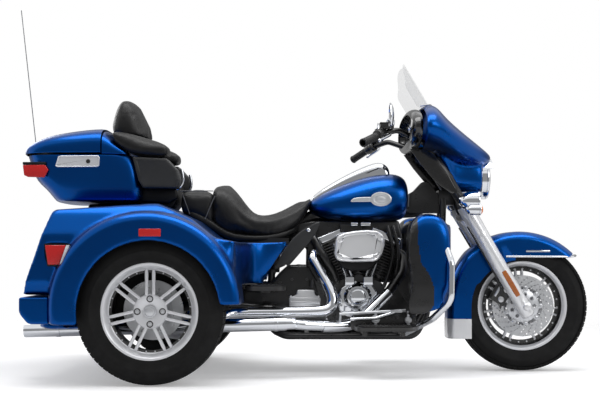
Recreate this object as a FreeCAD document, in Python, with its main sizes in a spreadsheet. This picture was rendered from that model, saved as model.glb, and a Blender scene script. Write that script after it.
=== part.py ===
# Three-wheeled touring motorcycle, in millimetres: X forward, Y to the rider's left, Z up, with the
# origin on the floor below the middle of the overall length. The driving dimensions are in the sheet
# Dim, the outlines are short tables of corners (u, v, corner radius), and each sub-part is one object
# of the document, written to parts/LABEL.step.
import FreeCAD, Part
import math
import os

DIMENSIONS = (
    # alias, millimetres or degrees
    ("axle_front_x", 1065), ("axle_rear_x", -625), ("front_tyre_r", 311), ("rear_tyre_r", 316),
    ("front_tyre_w", 130), ("rear_tyre_w", 205), ("half_track", 542),
    ("front_rim_r", 212), ("rear_rim_r", 206), ("front_bead_r", 202), ("rear_bead_r", 194),
    ("front_axle_r", 12), ("rear_stub_r", 22), ("running_gap", 0.05),
    ("rake", 26), ("neck_ground_x", 1163), ("fork_lean", 30.4), ("fork_half_w", 125),
    ("slider_r", 29), ("fork_tube_r", 24.5), ("slider_top", 400), ("fork_top", 760),
    ("neck_low", 842), ("neck_high", 1027), ("neck_r", 33), ("stem_r", 15),
    ("clamp_low", 805), ("clamp_high", 1034), ("clamp_thick", 30), ("clamp_half_w", 166),
    ("clamp_half_d", 36), ("rail_r", 16), ("backbone_r", 28), ("guard_r", 15),
    ("crank_x", 285), ("crank_z", 336), ("cylinder_lean", 23), ("case_half_w", 75), ("primary_y", 126),
    ("fin_count", 11), ("fin_pitch", 16), ("fin_thick", 7), ("fin_start", 146), ("fin_half", 84),
    ("muffler_r", 29), ("header_r", 22), ("muffler_y", 348), ("muffler_front_x", -60),
    ("muffler_rear_x", -1222),
    ("arch_x", -642), ("arch_z", 330), ("arch_r", 408), ("well_r", 366), ("opening_r", 298),
    ("arch_half_w", 690), ("arch_inner", 412), ("arch_round", 48), ("well_inner", 420), ("well_outer", 658),
    ("door_half_w", 350), ("door_gap", 6), ("plate_hole_gap", 178), ("plate_hole_r", 3.5),
    ("case_wall", 8), ("lid_front_x", -893), ("fender_x", 1051), ("fender_z", 298), ("fender_r", 366),
    ("fender_half_w", 88), ("fender_skin", 4), ("fender_skirt_r", 230), ("bumper_half_w", 626),
    ("bumper_plate", 18),
)

doc = FreeCAD.newDocument("touring_trike")
sheet = doc.addObject("Spreadsheet::Sheet", "Dim")
for row, (alias, value) in enumerate(DIMENSIONS, start=1):
    sheet.set(f"A{row}", str(value))
    sheet.setAlias(f"A{row}", alias)
doc.recompute()

V = FreeCAD.Vector
LEFT, RIGHT = 1, -1
SIDES = (("left", LEFT), ("right", RIGHT))
nodes = []


def dim(alias):
    """The value of one cell of the sheet."""
    return float(getattr(sheet, alias))


def keep(feature, label):
    """Names a finished sub-part, which is then written to its own file."""
    feature.Label = label
    nodes.append(feature)
    return feature


def shape_of(label):
    """The present shape of a finished sub-part, for fitting another to it."""
    feature = next(node for node in nodes if node.Label == label)
    doc.recompute()
    return feature.Shape


# ---------------------------------------------------------------- outlines, prisms and turned solids


def rounded(corners):
    """Lines and tangent arcs of a closed outline, from rows of (u, v, corner radius)."""
    points = [V(row[0], row[1], 0) for row in corners]
    radii = [row[2] if len(row) > 2 else 0 for row in corners]
    count = len(points)
    cuts = []
    for i, corner in enumerate(points):
        back, ahead = points[i - 1] - corner, points[(i + 1) % count] - corner
        room = 0.49 * min(back.Length, ahead.Length)
        back, ahead = back.normalize(), ahead.normalize()
        half = back.getAngle(ahead) / 2
        if radii[i] <= 0 or half > math.pi / 2 - 0.01:
            cuts.append((corner, None, corner))
            continue
        reach = min(radii[i] / math.tan(half), room)
        radius = reach * math.tan(half)
        middle = (back + ahead).normalize()
        via = corner + middle * (radius / math.sin(half) - radius)
        cuts.append((corner + back * reach, via, corner + ahead * reach))
    edges = []
    for i, (start, via, end) in enumerate(cuts):
        if via is not None:
            edges.append(Part.Arc(start, via, end))
        following = cuts[(i + 1) % count][0]
        if end.distanceToPoint(following) > 1e-6:
            edges.append(Part.LineSegment(end, following))
    return edges


def sketch_in(body, plane, corners):
    """A sketch of a rounded outline on one of the body's own origin planes."""
    sketch = body.newObject("Sketcher::SketchObject", body.Name + "_outline")
    support = [f for f in body.Origin.OriginFeatures if f.Role == plane + "_Plane"][0]
    sketch.AttachmentSupport = (support, [""])
    sketch.MapMode = "FlatFace"
    for edge in rounded(corners):
        sketch.addGeometry(edge, False)
    return sketch


def prism(name, plane, corners, low, high):
    """A padded outline between two levels across its plane, each an expression of the sheet.
    Outlines on XZ hold (x, z) and levels in y, on YZ (y, z) and x, on XY (x, y) and z."""
    body = doc.addObject("PartDesign::Body", name)
    sketch = sketch_in(body, plane, corners)
    start = f"-({high})" if plane == "XZ" else f"{low}"
    sketch.setExpression("AttachmentOffset.Base.z", start)
    pad = body.newObject("PartDesign::Pad", name + "_pad")
    pad.Profile = sketch
    pad.setExpression("Length", f"({high}) - ({low})")
    return body


def prism_shape(name, corners, half):
    """The shape of an outline on XZ padded to both sides of the middle, for fusing with plain shapes."""
    block = prism(name, "XZ", corners, -half, half)
    doc.recompute()
    return block.Shape


def turned(name, corners, x="0", y="0", z="0", angle=360.0):
    """A section of rows (radius, y, corner radius) turned about a line along Y through (x, y, z)."""
    body = doc.addObject("PartDesign::Body", name)
    sketch = sketch_in(body, "XY", corners)
    turn = body.newObject("PartDesign::Revolution", name + "_turn")
    turn.Profile = sketch
    turn.ReferenceAxis = (sketch, ["V_Axis"])
    turn.Angle = angle
    for axis, value in (("x", x), ("y", y), ("z", z)):
        body.setExpression("Placement.Base." + axis, value)
    return body


def solid(name, shape):
    """A feature that holds a shape made with Part's own functions."""
    feature = doc.addObject("Part::Feature", name)
    feature.Shape = shape
    return feature


def together(kind, name, features):
    """A Part::MultiFuse, Part::MultiCommon or Part::Compound of several features."""
    joined = doc.addObject("Part::" + kind, name)
    if kind == "Compound":
        joined.Links = features
    else:
        joined.Shapes = features
    return joined


def without(name, base, *tools):
    """The base with every tool cut away."""
    cut = doc.addObject("Part::Cut", name)
    cut.Base = base
    cut.Tool = tools[0] if len(tools) == 1 else together("MultiFuse", name + "_tools", list(tools))
    return cut


def mirrored(name, feature, base=V(0, 0, 0), normal=V(0, 1, 0)):
    """The feature reflected in a plane, by default the vertical middle plane."""
    mirror = doc.addObject("Part::Mirroring", name)
    mirror.Source = feature
    mirror.Base = base
    mirror.Normal = normal
    return mirror


def both_sides(label, feature):
    """One node of two like pieces, left and right."""
    pair = together("Compound", label + "_pair", [feature, mirrored(label + "_twin", feature)])
    return keep(pair, label)


def box(name, x, y, z):
    """A Part::Box between two numbers or expressions on each axis."""
    made = doc.addObject("Part::Box", name)
    for (low, high), axis, size in ((x, "x", "Length"), (y, "y", "Width"), (z, "z", "Height")):
        made.setExpression("Placement.Base." + axis, f"{low}")
        made.setExpression(size, f"({high}) - ({low})")
    return made


def disc_y(name, radius, x, z, low, high):
    """A Part::Cylinder along Y, its sizes and place as expressions."""
    made = doc.addObject("Part::Cylinder", name)
    made.setExpression("Radius", f"{radius}")
    made.setExpression("Height", f"({high}) - ({low})")
    made.Placement.Rotation = FreeCAD.Rotation(V(1, 0, 0), -90)
    for axis, value in (("x", x), ("y", low), ("z", z)):
        made.setExpression("Placement.Base." + axis, f"{value}")
    return made


def rod(start, end, radius):
    """The shape of a round bar between two points."""
    along = end - start
    return Part.makeCylinder(radius, along.Length, start, along)


def tube(points, radius, bend):
    """The shape of a bent round bar: straight runs joined by tangent arcs of the bend radius."""
    points = [V(*p) for p in points]
    edges, last = [], points[0]
    for before, corner, after in zip(points, points[1:], points[2:]):
        back, ahead = (before - corner).normalize(), (after - corner).normalize()
        half = back.getAngle(ahead) / 2
        room = 0.48 * min((before - corner).Length, (after - corner).Length)
        reach = min(bend / math.tan(half), room)
        middle = (back + ahead).normalize()
        arc_r = reach * math.tan(half)
        via = corner + middle * (arc_r / math.sin(half) - arc_r)
        edges.append(Part.LineSegment(last, corner + back * reach).toShape())
        edges.append(Part.Arc(corner + back * reach, via, corner + ahead * reach).toShape())
        last = corner + ahead * reach
    edges.append(Part.LineSegment(last, points[-1]).toShape())
    ring = Part.Wire(Part.makeCircle(radius, points[0], points[1] - points[0]))
    return Part.Wire(edges).makePipeShell([ring], True, True)


def flip(points, side):
    """Points (x, y, z) drawn for the left, on the side asked for."""
    return [(x, y * side, z) for x, y, z in points]


def neck(along, across=0.0, ahead=0.0):
    """A point on the steering axis, `along` it from the floor, moved sideways and square to it."""
    lean = math.radians(dim("rake"))
    return V(dim("neck_ground_x") - along * math.sin(lean) + ahead * math.cos(lean), across,
             along * math.cos(lean) + ahead * math.sin(lean))


def fork(along, side):
    """A point on a fork leg, `along` it from the front axle."""
    lean = math.radians(dim("fork_lean"))
    return V(dim("axle_front_x") - along * math.sin(lean), side * dim("fork_half_w"),
             dim("front_tyre_r") + along * math.cos(lean))


# ---------------------------------------------------------------- wheels


SPOKE_PAIRS = 7


def tyre(label, bead_r, flange_r, tread_r, width, rim_half, x, y, z):
    """A tyre with a crowned tread and bulged walls, turned about its axle."""
    half = width / 2
    wall = (
        # radius, across, corner radius, from the bead out to the tread
        (bead_r, rim_half - 8, 0), (flange_r, rim_half - 8, 0), (flange_r, rim_half, 0),
        (flange_r + 12, half - 4, 10), (tread_r - 40, half, 30), (tread_r, half - 26, 34),
    )
    section = [(r, -y_out, round_r) for r, y_out, round_r in wall] + list(reversed(wall))
    return keep(turned(label + "_section", section, x, y, z), label)


def spoke_pairs(inner_r, outer_r, gap, width, low, high, start):
    """The shape of paired parallel spokes round a hub, centred on the axle line."""
    bars = []
    for pair in range(SPOKE_PAIRS):
        for side in (LEFT, RIGHT):
            bar = Part.makeBox(outer_r - inner_r, high - low, width,
                               V(inner_r, low, side * gap - width / 2))
            bar.rotate(V(0, 0, 0), V(0, 1, 0), start + pair * 360.0 / SPOKE_PAIRS)
            bars.append(bar)
    return bars[0].multiFuse(bars[1:])


def rim(label, spokes, sections, x, y, z):
    """A cast rim: turned barrel and hub sections fused with the spokes."""
    parts = []
    for number, section in enumerate(sections):
        parts.append(turned(f"{label}_turned_{number}", section, x, y, z))
    arms = solid(label + "_spokes", spokes)
    for axis, value in (("x", x), ("y", y), ("z", z)):
        arms.setExpression("Placement.Base." + axis, value)
    return keep(together("MultiFuse", label + "_cast", parts + [arms]), label)


def barrel_section(bead_r, flange_r, half):
    """Section of a rim barrel with a flange at each edge and a dropped middle."""
    return ((bead_r - 12, -half), (flange_r, -half), (flange_r, -half + 8), (bead_r, -half + 8),
            (bead_r, half - 8), (flange_r, half - 8), (flange_r, half), (bead_r - 12, half))


def front_wheel():
    """Tyre, twin-spoke rim and two brake discs on the front axle."""
    x, z = "Dim.axle_front_x", "Dim.front_tyre_r"
    rim_half, hub_half, disc_r = 50, 54, 145
    bore = dim("front_axle_r") + dim("running_gap")
    tyre("front_tyre", dim("front_bead_r"), dim("front_rim_r"), dim("front_tyre_r"), dim("front_tyre_w"),
         rim_half, x, "0", z)
    arms = spoke_pairs(36, dim("front_bead_r") - 6, 15, 13, -12, 12, 10)
    rim("front_rim", arms, (
        barrel_section(dim("front_bead_r"), dim("front_rim_r"), rim_half),
        ((bore, -hub_half), (38, -hub_half), (52, -20), (52, 20), (38, hub_half), (bore, hub_half)),
    ), x, "0", z)
    ring = ((88, hub_half + 2), (disc_r, hub_half + 2), (disc_r, hub_half + 7), (88, hub_half + 7))
    carrier = ((bore, hub_half), (60, hub_half), (96, hub_half + 2), (96, hub_half + 7), (bore, hub_half + 4))
    left = together("MultiFuse", "front_disc_left",
                    [turned("front_disc_ring", ring, x, "0", z), turned("front_carrier", carrier, x, "0", z)])
    both_sides("front_discs", left)


def rear_wheels():
    """On each side a tyre and a twin-spoke rim that carries its hub and brake disc."""
    x, z = "Dim.axle_rear_x", "Dim.rear_tyre_r"
    rim_half = 96
    bore = dim("rear_stub_r") + dim("running_gap")
    for word, side in SIDES:
        y = f"{side} * Dim.half_track"
        tyre(f"rear_tyre_{word}", dim("rear_bead_r"), dim("rear_rim_r"), dim("rear_tyre_r"),
             dim("rear_tyre_w"), rim_half, x, y, z)
        face = sorted((side * 52, side * 74))
        arms = spoke_pairs(62, dim("rear_bead_r") - 6, 15, 15, face[0], face[1], -90)
        hub = ((bore, side * -104), (60, side * -104), (60, side * -16), (48, side * 20), (74, side * 48),
               (74, side * 78), (30, side * 82), (0, side * 82), (0, side * 24), (bore, side * 24))
        plate = ((50, side * -40), (130, side * -40), (130, side * -32), (50, side * -32))
        rim(f"rear_rim_{word}", arms,
            (barrel_section(dim("rear_bead_r"), dim("rear_rim_r"), rim_half), hub, plate), x, y, z)


# ---------------------------------------------------------------- fork, steering and front bodywork


def fork_legs():
    """Sliders on the front axle, and the upper tubes held by two clamps on the steering stem."""
    sliders, tubes = [], []
    for word, side in SIDES:
        sliders.append(solid(f"slider_{word}", rod(fork(-42, side), fork(dim("slider_top"), side),
                                                   dim("slider_r"))))
        tubes.append(rod(fork(dim("slider_top"), side), fork(dim("fork_top"), side), dim("fork_tube_r")))
    axle = disc_y("front_axle", "Dim.front_axle_r", "Dim.axle_front_x", "Dim.front_tyre_r", -160, 160)
    keep(together("MultiFuse", "slider_pair", sliders + [axle]), "fork_sliders")
    clamps = []
    for low in (dim("clamp_low"), dim("clamp_high")):
        depth, width = dim("clamp_half_d"), dim("clamp_half_w")
        plate = Part.makeBox(2 * depth, 2 * width, dim("clamp_thick"), V(-depth, -width, 0))
        plate.rotate(V(0, 0, 0), V(0, 1, 0), -dim("rake"))
        plate.translate(neck(low))
        clamps.append(plate)
    stem = rod(neck(dim("clamp_low")), neck(dim("clamp_high")), dim("stem_r"))
    keep(solid("clamps_and_tubes", clamps[0].multiFuse([clamps[1], stem] + tubes)), "fork_tubes")


BAR_PATH = (
    # x, y, z on the left, from the middle out to the end of the grip
    (672, 0, 985), (668, 80, 990), (600, 185, 1062), (452, 262, 1122), (372, 312, 1098), (284, 432, 1046),
)
GRIP_LENGTH = 122


def handlebar():
    """One bent bar, its grips, the switch housings with levers, and the mirrors.
    Returns the room that the bodywork leaves round the bar."""
    left = [V(*p) for p in BAR_PATH]
    outward = (left[-1] - left[-2]).normalize()
    grip_start = left[-1] - outward * GRIP_LENGTH
    ends = {s: V(grip_start.x, s * grip_start.y, grip_start.z) for _, s in SIDES}
    route = [ends[RIGHT]] + [V(x, -y, z) for x, y, z in reversed(BAR_PATH[1:-1])]
    route += [V(x, y, z) for x, y, z in BAR_PATH[1:-1]] + [ends[LEFT]]
    bar = tube(route, 13, 60)
    risers = [rod(V(700, s * 55, 945), V(672, s * 55, 992), 17) for _, s in SIDES]
    keep(solid("bar", bar.multiFuse(risers).cut(shape_of("fork_tubes"))), "handlebar")
    keep(solid("grip_pair", Part.Compound([
        rod(ends[s], V(left[-1].x, s * left[-1].y, left[-1].z), 18) for _, s in SIDES])), "grips")
    controls, mirrors = [], []
    for _, s in SIDES:
        aim = V(outward.x, s * outward.y, outward.z)
        housing = rod(ends[s] - aim * 58, ends[s] - aim * 1, 27)
        reservoir = Part.makeBox(62, 40, 30, ends[s] - aim * 45 + V(-8, -20, 18))
        lever = tube([ends[s] - aim * 36 + V(20, 0, 0), ends[s] - aim * 20 + V(62, 0, 6),
                      ends[s] + aim * 96 + V(60, 0, 4)], 6.5, 20)
        whole = housing.multiFuse([reservoir, lever])
        controls.append(whole.cut(bar))
        foot = ends[s] - aim * 30 + V(28, 0, 49)
        head = Part.makeCylinder(58, 16, V(408, s * 375, 1172), V(1, 0, 0))
        stalk = tube([foot, foot + V(14, s * 4, 45), V(424, s * 375, 1172)], 6, 20)
        mirrors.append(head.fuse(stalk).cut(whole))
    keep(solid("control_pair", Part.Compound(controls)), "hand_controls")
    keep(solid("mirror_pair", Part.Compound(mirrors)), "mirrors")
    return tube(route, 22, 60)


FAIRING_SIDE = (
    # x, z, corner radius: the top lip, the nose above the lamp and the lamp nacelle
    (575, 1200, 30), (600, 1262, 14), (638, 1262, 26), (668, 1208, 90), (915, 1024, 22), (884, 985, 14),
    (856, 978, 10), (852, 850, 22), (756, 846, 30), (700, 1000, 60), (575, 1030, 20),
)
FAIRING_FRONT = (
    # y, z, corner radius: the bat shape seen from the front, left half then right half
    (0, 1268, 0), (150, 1262, 60), (300, 1215, 70), (362, 1130, 50), (345, 1050, 40), (200, 1008, 70),
    (118, 930, 50), (112, 846, 50), (-112, 846, 50), (-118, 930, 50), (-200, 1008, 70), (-345, 1050, 40),
    (-362, 1130, 50), (-300, 1215, 70), (-150, 1262, 60),
)
FAIRING_PLAN = (
    # x, y, corner radius: the front face bows back from the middle to the tips
    (918, 0, 0), (905, 90, 70), (800, 200, 120), (640, 340, 60), (575, 365, 0), (560, 365, 0),
    (560, -365, 0), (575, -365, 0), (640, -340, 60), (800, -200, 120), (905, -90, 70),
)
SKIN = 14


def shrunk(corners, inset, middle):
    """The outline drawn in by an inset towards a middle point, its corners tighter."""
    rows = []
    for u, v, r in corners:
        out = V(u - middle[0], v - middle[1], 0)
        pull = out * ((out.Length - inset) / out.Length)
        rows.append((middle[0] + pull.x, middle[1] + pull.y, max(r - inset, 0)))
    return tuple(rows)


def three_views(name, side, front, plan, x, y, z):
    """The solid whose outlines from the side, the front and above are the three given."""
    views = [prism(name + "_side", "XZ", side, *y)]
    if front:
        views.append(prism(name + "_front", "YZ", front, *x))
    if plan:
        views.append(prism(name + "_plan", "XY", plan, *z))
    return together("MultiCommon", name, views)


LAMP_Z = 915
LAMP_RING_R = 96


def front_fairing(bar_room):
    """The handlebar fairing: a hollow painted nose, a dash behind it, the screen and the lamps."""
    outer = three_views("fairing_outer", FAIRING_SIDE, FAIRING_FRONT, FAIRING_PLAN,
                        (500, 1000), (-400, 400), (800, 1300))
    inner = three_views("fairing_inner", [(x - SKIN, z - (4 if z > 1100 else -4), r) for x, z, r in FAIRING_SIDE],
                        shrunk(FAIRING_FRONT, SKIN, (0, 1090)),
                        [(x - SKIN, y * 0.965, r) for x, y, r in FAIRING_PLAN],
                        (400, 1000), (-400, 400), (800, 1300))
    fork_room = box("fairing_fork_room", (500, 796), (-176, 176), (800, 1012))
    lamp_seat = solid("lamp_seat", rod(V(800, 0, LAMP_Z), V(1000, 0, LAMP_Z), LAMP_RING_R + 1.5))
    bar_way = solid("bar_way", bar_room)
    keep(without("fairing_shell", outer, inner, fork_room, lamp_seat, bar_way), "front_fairing")
    dash_side = ((486, 1100, 20), (500, 1215, 30), (560, 1240, 20), (573, 1200, 10), (573, 1035, 10),
                 (520, 1040, 10))
    dash_front = shrunk(FAIRING_FRONT, 4, (0, 1090))
    dash_hole = ((0, 1212, 0), (130, 1206, 50), (286, 1170, 40), (330, 1110, 30), (250, 1072, 40),
                 (90, 1040, 40), (-90, 1040, 40), (-250, 1072, 40), (-330, 1110, 30), (-286, 1170, 40),
                 (-130, 1206, 50))
    dash = three_views("dash_block", dash_side, dash_front, None, (470, 574), (-400, 400), None)
    bowl = prism("dash_bowl", "YZ", dash_hole, 400, 556)
    notch = box("dash_fork_room", (440, 700), (-150, 150), (800, 1045))
    keep(without("dash", dash, bowl, notch, bar_way), "inner_fairing")
    return outer


def windscreen(fairing):
    """A curved clear screen: a slice of a leaning tube wall cut to a rounded front outline."""
    outline = ((-196, 1235, 10), (-196, 1330, 60), (-112, 1454, 100), (112, 1454, 100), (196, 1330, 60),
               (196, 1235, 10))
    bow, thick, lean = 300, 4.5, 31.0
    axis = V(-math.sin(math.radians(lean)), 0, math.cos(math.radians(lean)))
    foot = V(648 - bow * math.cos(math.radians(lean)), 0, 1225 - bow * math.sin(math.radians(lean)))
    wall = Part.makeCylinder(bow, 420, foot - axis * 60, axis).cut(
        Part.makeCylinder(bow - thick, 440, foot - axis * 70, axis))
    body = prism("screen_front", "YZ", outline, 440, 760)
    cut = together("MultiCommon", "screen_cut", [solid("screen_wall", wall), body])
    keep(without("screen", cut, fairing), "windscreen")


def front_lamps():
    """Headlamp in its nacelle, and a bar with a spot lamp and a turn signal at each end."""
    bowl = Part.makeCylinder(LAMP_RING_R - 8, 50, V(845, 0, LAMP_Z), V(1, 0, 0))
    ring = Part.makeCylinder(LAMP_RING_R, 14, V(884, 0, LAMP_Z), V(1, 0, 0)).fuse(
        Part.makeCone(LAMP_RING_R - 2, 80, 26, V(898, 0, LAMP_Z), V(1, 0, 0)))
    keep(solid("lamp_and_ring", bowl.fuse(ring)), "headlamp")
    bar = tube([(812, -214, 770), (856, -120, 778), (856, 120, 778), (812, 214, 770)], 11, 30)
    mounts = [Part.makeBox(80, 16, 40, V(780, s * 70 - 8, 765)) for _, s in SIDES]
    lamps, signals = [], []
    for _, s in SIDES:
        shell = Part.makeCylinder(46, 44, V(784, s * 206, 800), V(1, 0, 0))
        tail = Part.makeCone(14, 46, 44, V(740, s * 206, 800), V(1, 0, 0))
        lamps.append(shell.fuse(tail))
        signal = Part.makeCylinder(25, 46, V(788, s * 238, 760), V(1, 0, 0))
        dome = Part.makeCone(12, 25, 24, V(764, s * 238, 760), V(1, 0, 0))
        signals.append(signal.fuse(dome))
    whole = bar.multiFuse(mounts + lamps + signals).cut(shape_of("fork_tubes"))
    keep(solid("bar_with_lamps", whole), "lamp_bar")


def front_fender():
    """A deep fender: a U section turned about the axle, drawn straight down behind the wheel."""
    r, half, skin, edge = dim("fender_r"), dim("fender_half_w"), dim("fender_skin"), dim("fender_skirt_r")
    section = (
        (edge, -half, 0), (r - 26, -half, 30), (r, -half + 40, 46), (r, half - 40, 46), (r - 26, half, 30),
        (edge, half, 0), (edge, half - skin, 0), (r - 26, half - skin, 26), (r - skin, half - 42, 42),
        (r - skin, -half + 42, 42), (r - 26, -half + skin, 26), (edge, -half + skin, 0),
    )
    body = turned("fender_arc", section, "Dim.fender_x", "0", "Dim.fender_z", 134)
    body.Placement.Rotation = FreeCAD.Rotation(V(0, 1, 0), 180)
    flat = prism("fender_skirt", "XY", [(dim("fender_x") - u, v, rr) for u, v, rr in section],
                 158, "Dim.fender_z")
    whole = together("MultiFuse", "fender_whole", [body, flat])
    front_cut = box("fender_front_cut", ("Dim.axle_front_x - 40", 1500), (-120, 120), (300, 543))
    keep(without("front_fender", whole, front_cut), "front_fender")


CALIPER_REACH = 122
CALIPER_SIZE = (70, 58, 104)
DISC_ROOM = (49, 66)


def calipers():
    """Front brake calipers on the rear of the sliders, slotted for the discs."""
    made = []
    long, wide, tall = CALIPER_SIZE
    for _, side in SIDES:
        low = 42 if side > 0 else -42 - wide
        block = Part.makeBox(long, wide, tall, V(-CALIPER_REACH - long / 2, low, -tall / 2))
        block.rotate(V(0, 0, 0), V(0, 1, 0), dim("fork_lean"))
        block.translate(V(dim("axle_front_x"), 0, dim("front_tyre_r")))
        inner, outer = DISC_ROOM
        start = inner if side > 0 else -outer
        slot = Part.makeCylinder(152, outer - inner, V(dim("axle_front_x"), start, dim("front_tyre_r")),
                                 V(0, 1, 0))
        made.append(block.cut(slot))
    keep(solid("caliper_pair", Part.Compound(made).cut(shape_of("fork_sliders"))), "front_calipers")


# ---------------------------------------------------------------- frame, axle, engine


SPINE = [(560, 0, 760), (60, 0, 738), (-110, 0, 630), (-118, 0, 470)]
PIVOT = (-128, 150, 300)
NECK_COVER = (
    # x, z, corner radius
    (526, 752, 10), (530, 846, 10), (552, 858, 10), (592, 902, 16), (622, 896, 20), (700, 800, 20),
    (700, 752, 10),
)
SEAT_PAN_SIZE = (206, 332, 26)
SEAT_PAN_CORNER = (-250, -166, 606)
BELT_Y = 96
BELT_PULLEYS = (46, 98, 26)
BELT_THICK = 6


def frame():
    """Steel frame: bored neck, backbone, two cradle loops and the rails that carry the body."""
    bore = dim("stem_r") + dim("running_gap")
    head = rod(neck(dim("neck_low")), neck(dim("neck_high")), dim("neck_r"))
    spine = tube([neck(960)] + SPINE, dim("backbone_r"), 70)
    gusset = Part.makeBox(70, 90, 70, V(668, -45, 790))
    pieces = [head, spine, gusset]
    loop = ((690, 36, 820), (684, 52, 700), (602, 98, 270), (548, 112, 172), (-60, 112, 172),
            (-134, 68, 202), (-128, 62, 470))
    carrier = ((-128, 62, 408), (-200, 150, 408), (-760, 150, 408))
    for _, s in SIDES:
        pieces.append(tube(flip(loop, s), dim("rail_r"), 60))
        pieces.append(tube(flip(carrier, s), 15, 40))
        pieces.append(Part.makeBox(60, 34, 64, V(-160, s * 73 - 17, PIVOT[2] - 32)))
    pieces.append(prism_shape("neck_cover", NECK_COVER, 34))
    pieces.append(Part.makeBox(*SEAT_PAN_SIZE, V(*SEAT_PAN_CORNER)))
    for x, z, half in ((-120, 470, 62), (40, 172, 112), (-740, 408, 150), (470, 172, 112)):
        pieces.append(rod(V(x, -half, z), V(x, half, z), 13))
    whole = pieces[0].multiFuse(pieces[1:])
    whole = whole.cut(rod(neck(700), neck(1150), bore))
    keep(solid("frame_tubes", whole), "frame")


def rear_axle():
    """Axle tube with differential and hub stubs, trailing arms, spring struts and the belt drive."""
    x, z, track = dim("axle_rear_x"), dim("rear_tyre_r"), dim("half_track")
    stub = track + 18
    parts = [rod(V(x, -stub, z), V(x, stub, z), dim("rear_stub_r")),
             rod(V(x, -track + 118, z), V(x, track - 118, z), 38),
             rod(V(x, -82, z), V(x, 82, z), 88)]
    for _, s in SIDES:
        parts.append(tube(flip([(x, 205, z), (-330, 205, 318), PIVOT], s), 22, 60))
        parts.append(rod(V(PIVOT[0], s * (PIVOT[1] + 14), PIVOT[2]), V(PIVOT[0], s * 90, PIVOT[2]), 22))
        parts.append(rod(V(x + 20, s * 255, z), V(x + 55, s * 255, 420), 24))
    keep(solid("axle_and_arms", parts[0].multiFuse(parts[1:])), "rear_axle")
    left, right = V(-20, BELT_Y, 318), V(x, BELT_Y, z)
    small, large, wide = BELT_PULLEYS
    belt = tangent_strip(left, small, right, large, wide).multiFuse(
        [Part.makeCylinder(small, wide, left, V(0, 1, 0)), Part.makeCylinder(large, wide, right, V(0, 1, 0))])
    inside = tangent_strip(left, small - BELT_THICK, right, large - BELT_THICK, wide)
    pulleys = [Part.makeCylinder(small - BELT_THICK, wide, left, V(0, 1, 0)),
               Part.makeCylinder(large - BELT_THICK, wide, right, V(0, 1, 0))]
    whole = belt.cut(inside).multiFuse(pulleys)
    keep(solid("belt_and_pulleys", whole.cut(shape_of("rear_axle"))), "belt_drive")


def tangent_strip(a, ra, b, rb, width):
    """The shape between two pulleys on lines along Y, bounded by their outer tangents."""
    span = math.hypot(b.x - a.x, b.z - a.z)
    tilt = math.atan2(b.z - a.z, b.x - a.x)
    spread = math.acos((ra - rb) / span)
    points = []
    for centre, r, sign in ((a, ra, 1), (b, rb, 1), (b, rb, -1), (a, ra, -1)):
        angle = tilt + sign * spread
        points.append(V(centre.x + r * math.cos(angle), a.y, centre.z + r * math.sin(angle)))
    return Part.Face(Part.makePolygon(points + points[:1])).extrude(V(0, width, 0))


def leaned(shape):
    """A shape drawn upright over the crank, leaned back to the rear cylinder's place."""
    centre = V(dim("crank_x"), 0, dim("crank_z"))
    shape.rotate(centre, V(0, 1, 0), -dim("cylinder_lean"))
    return shape


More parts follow.
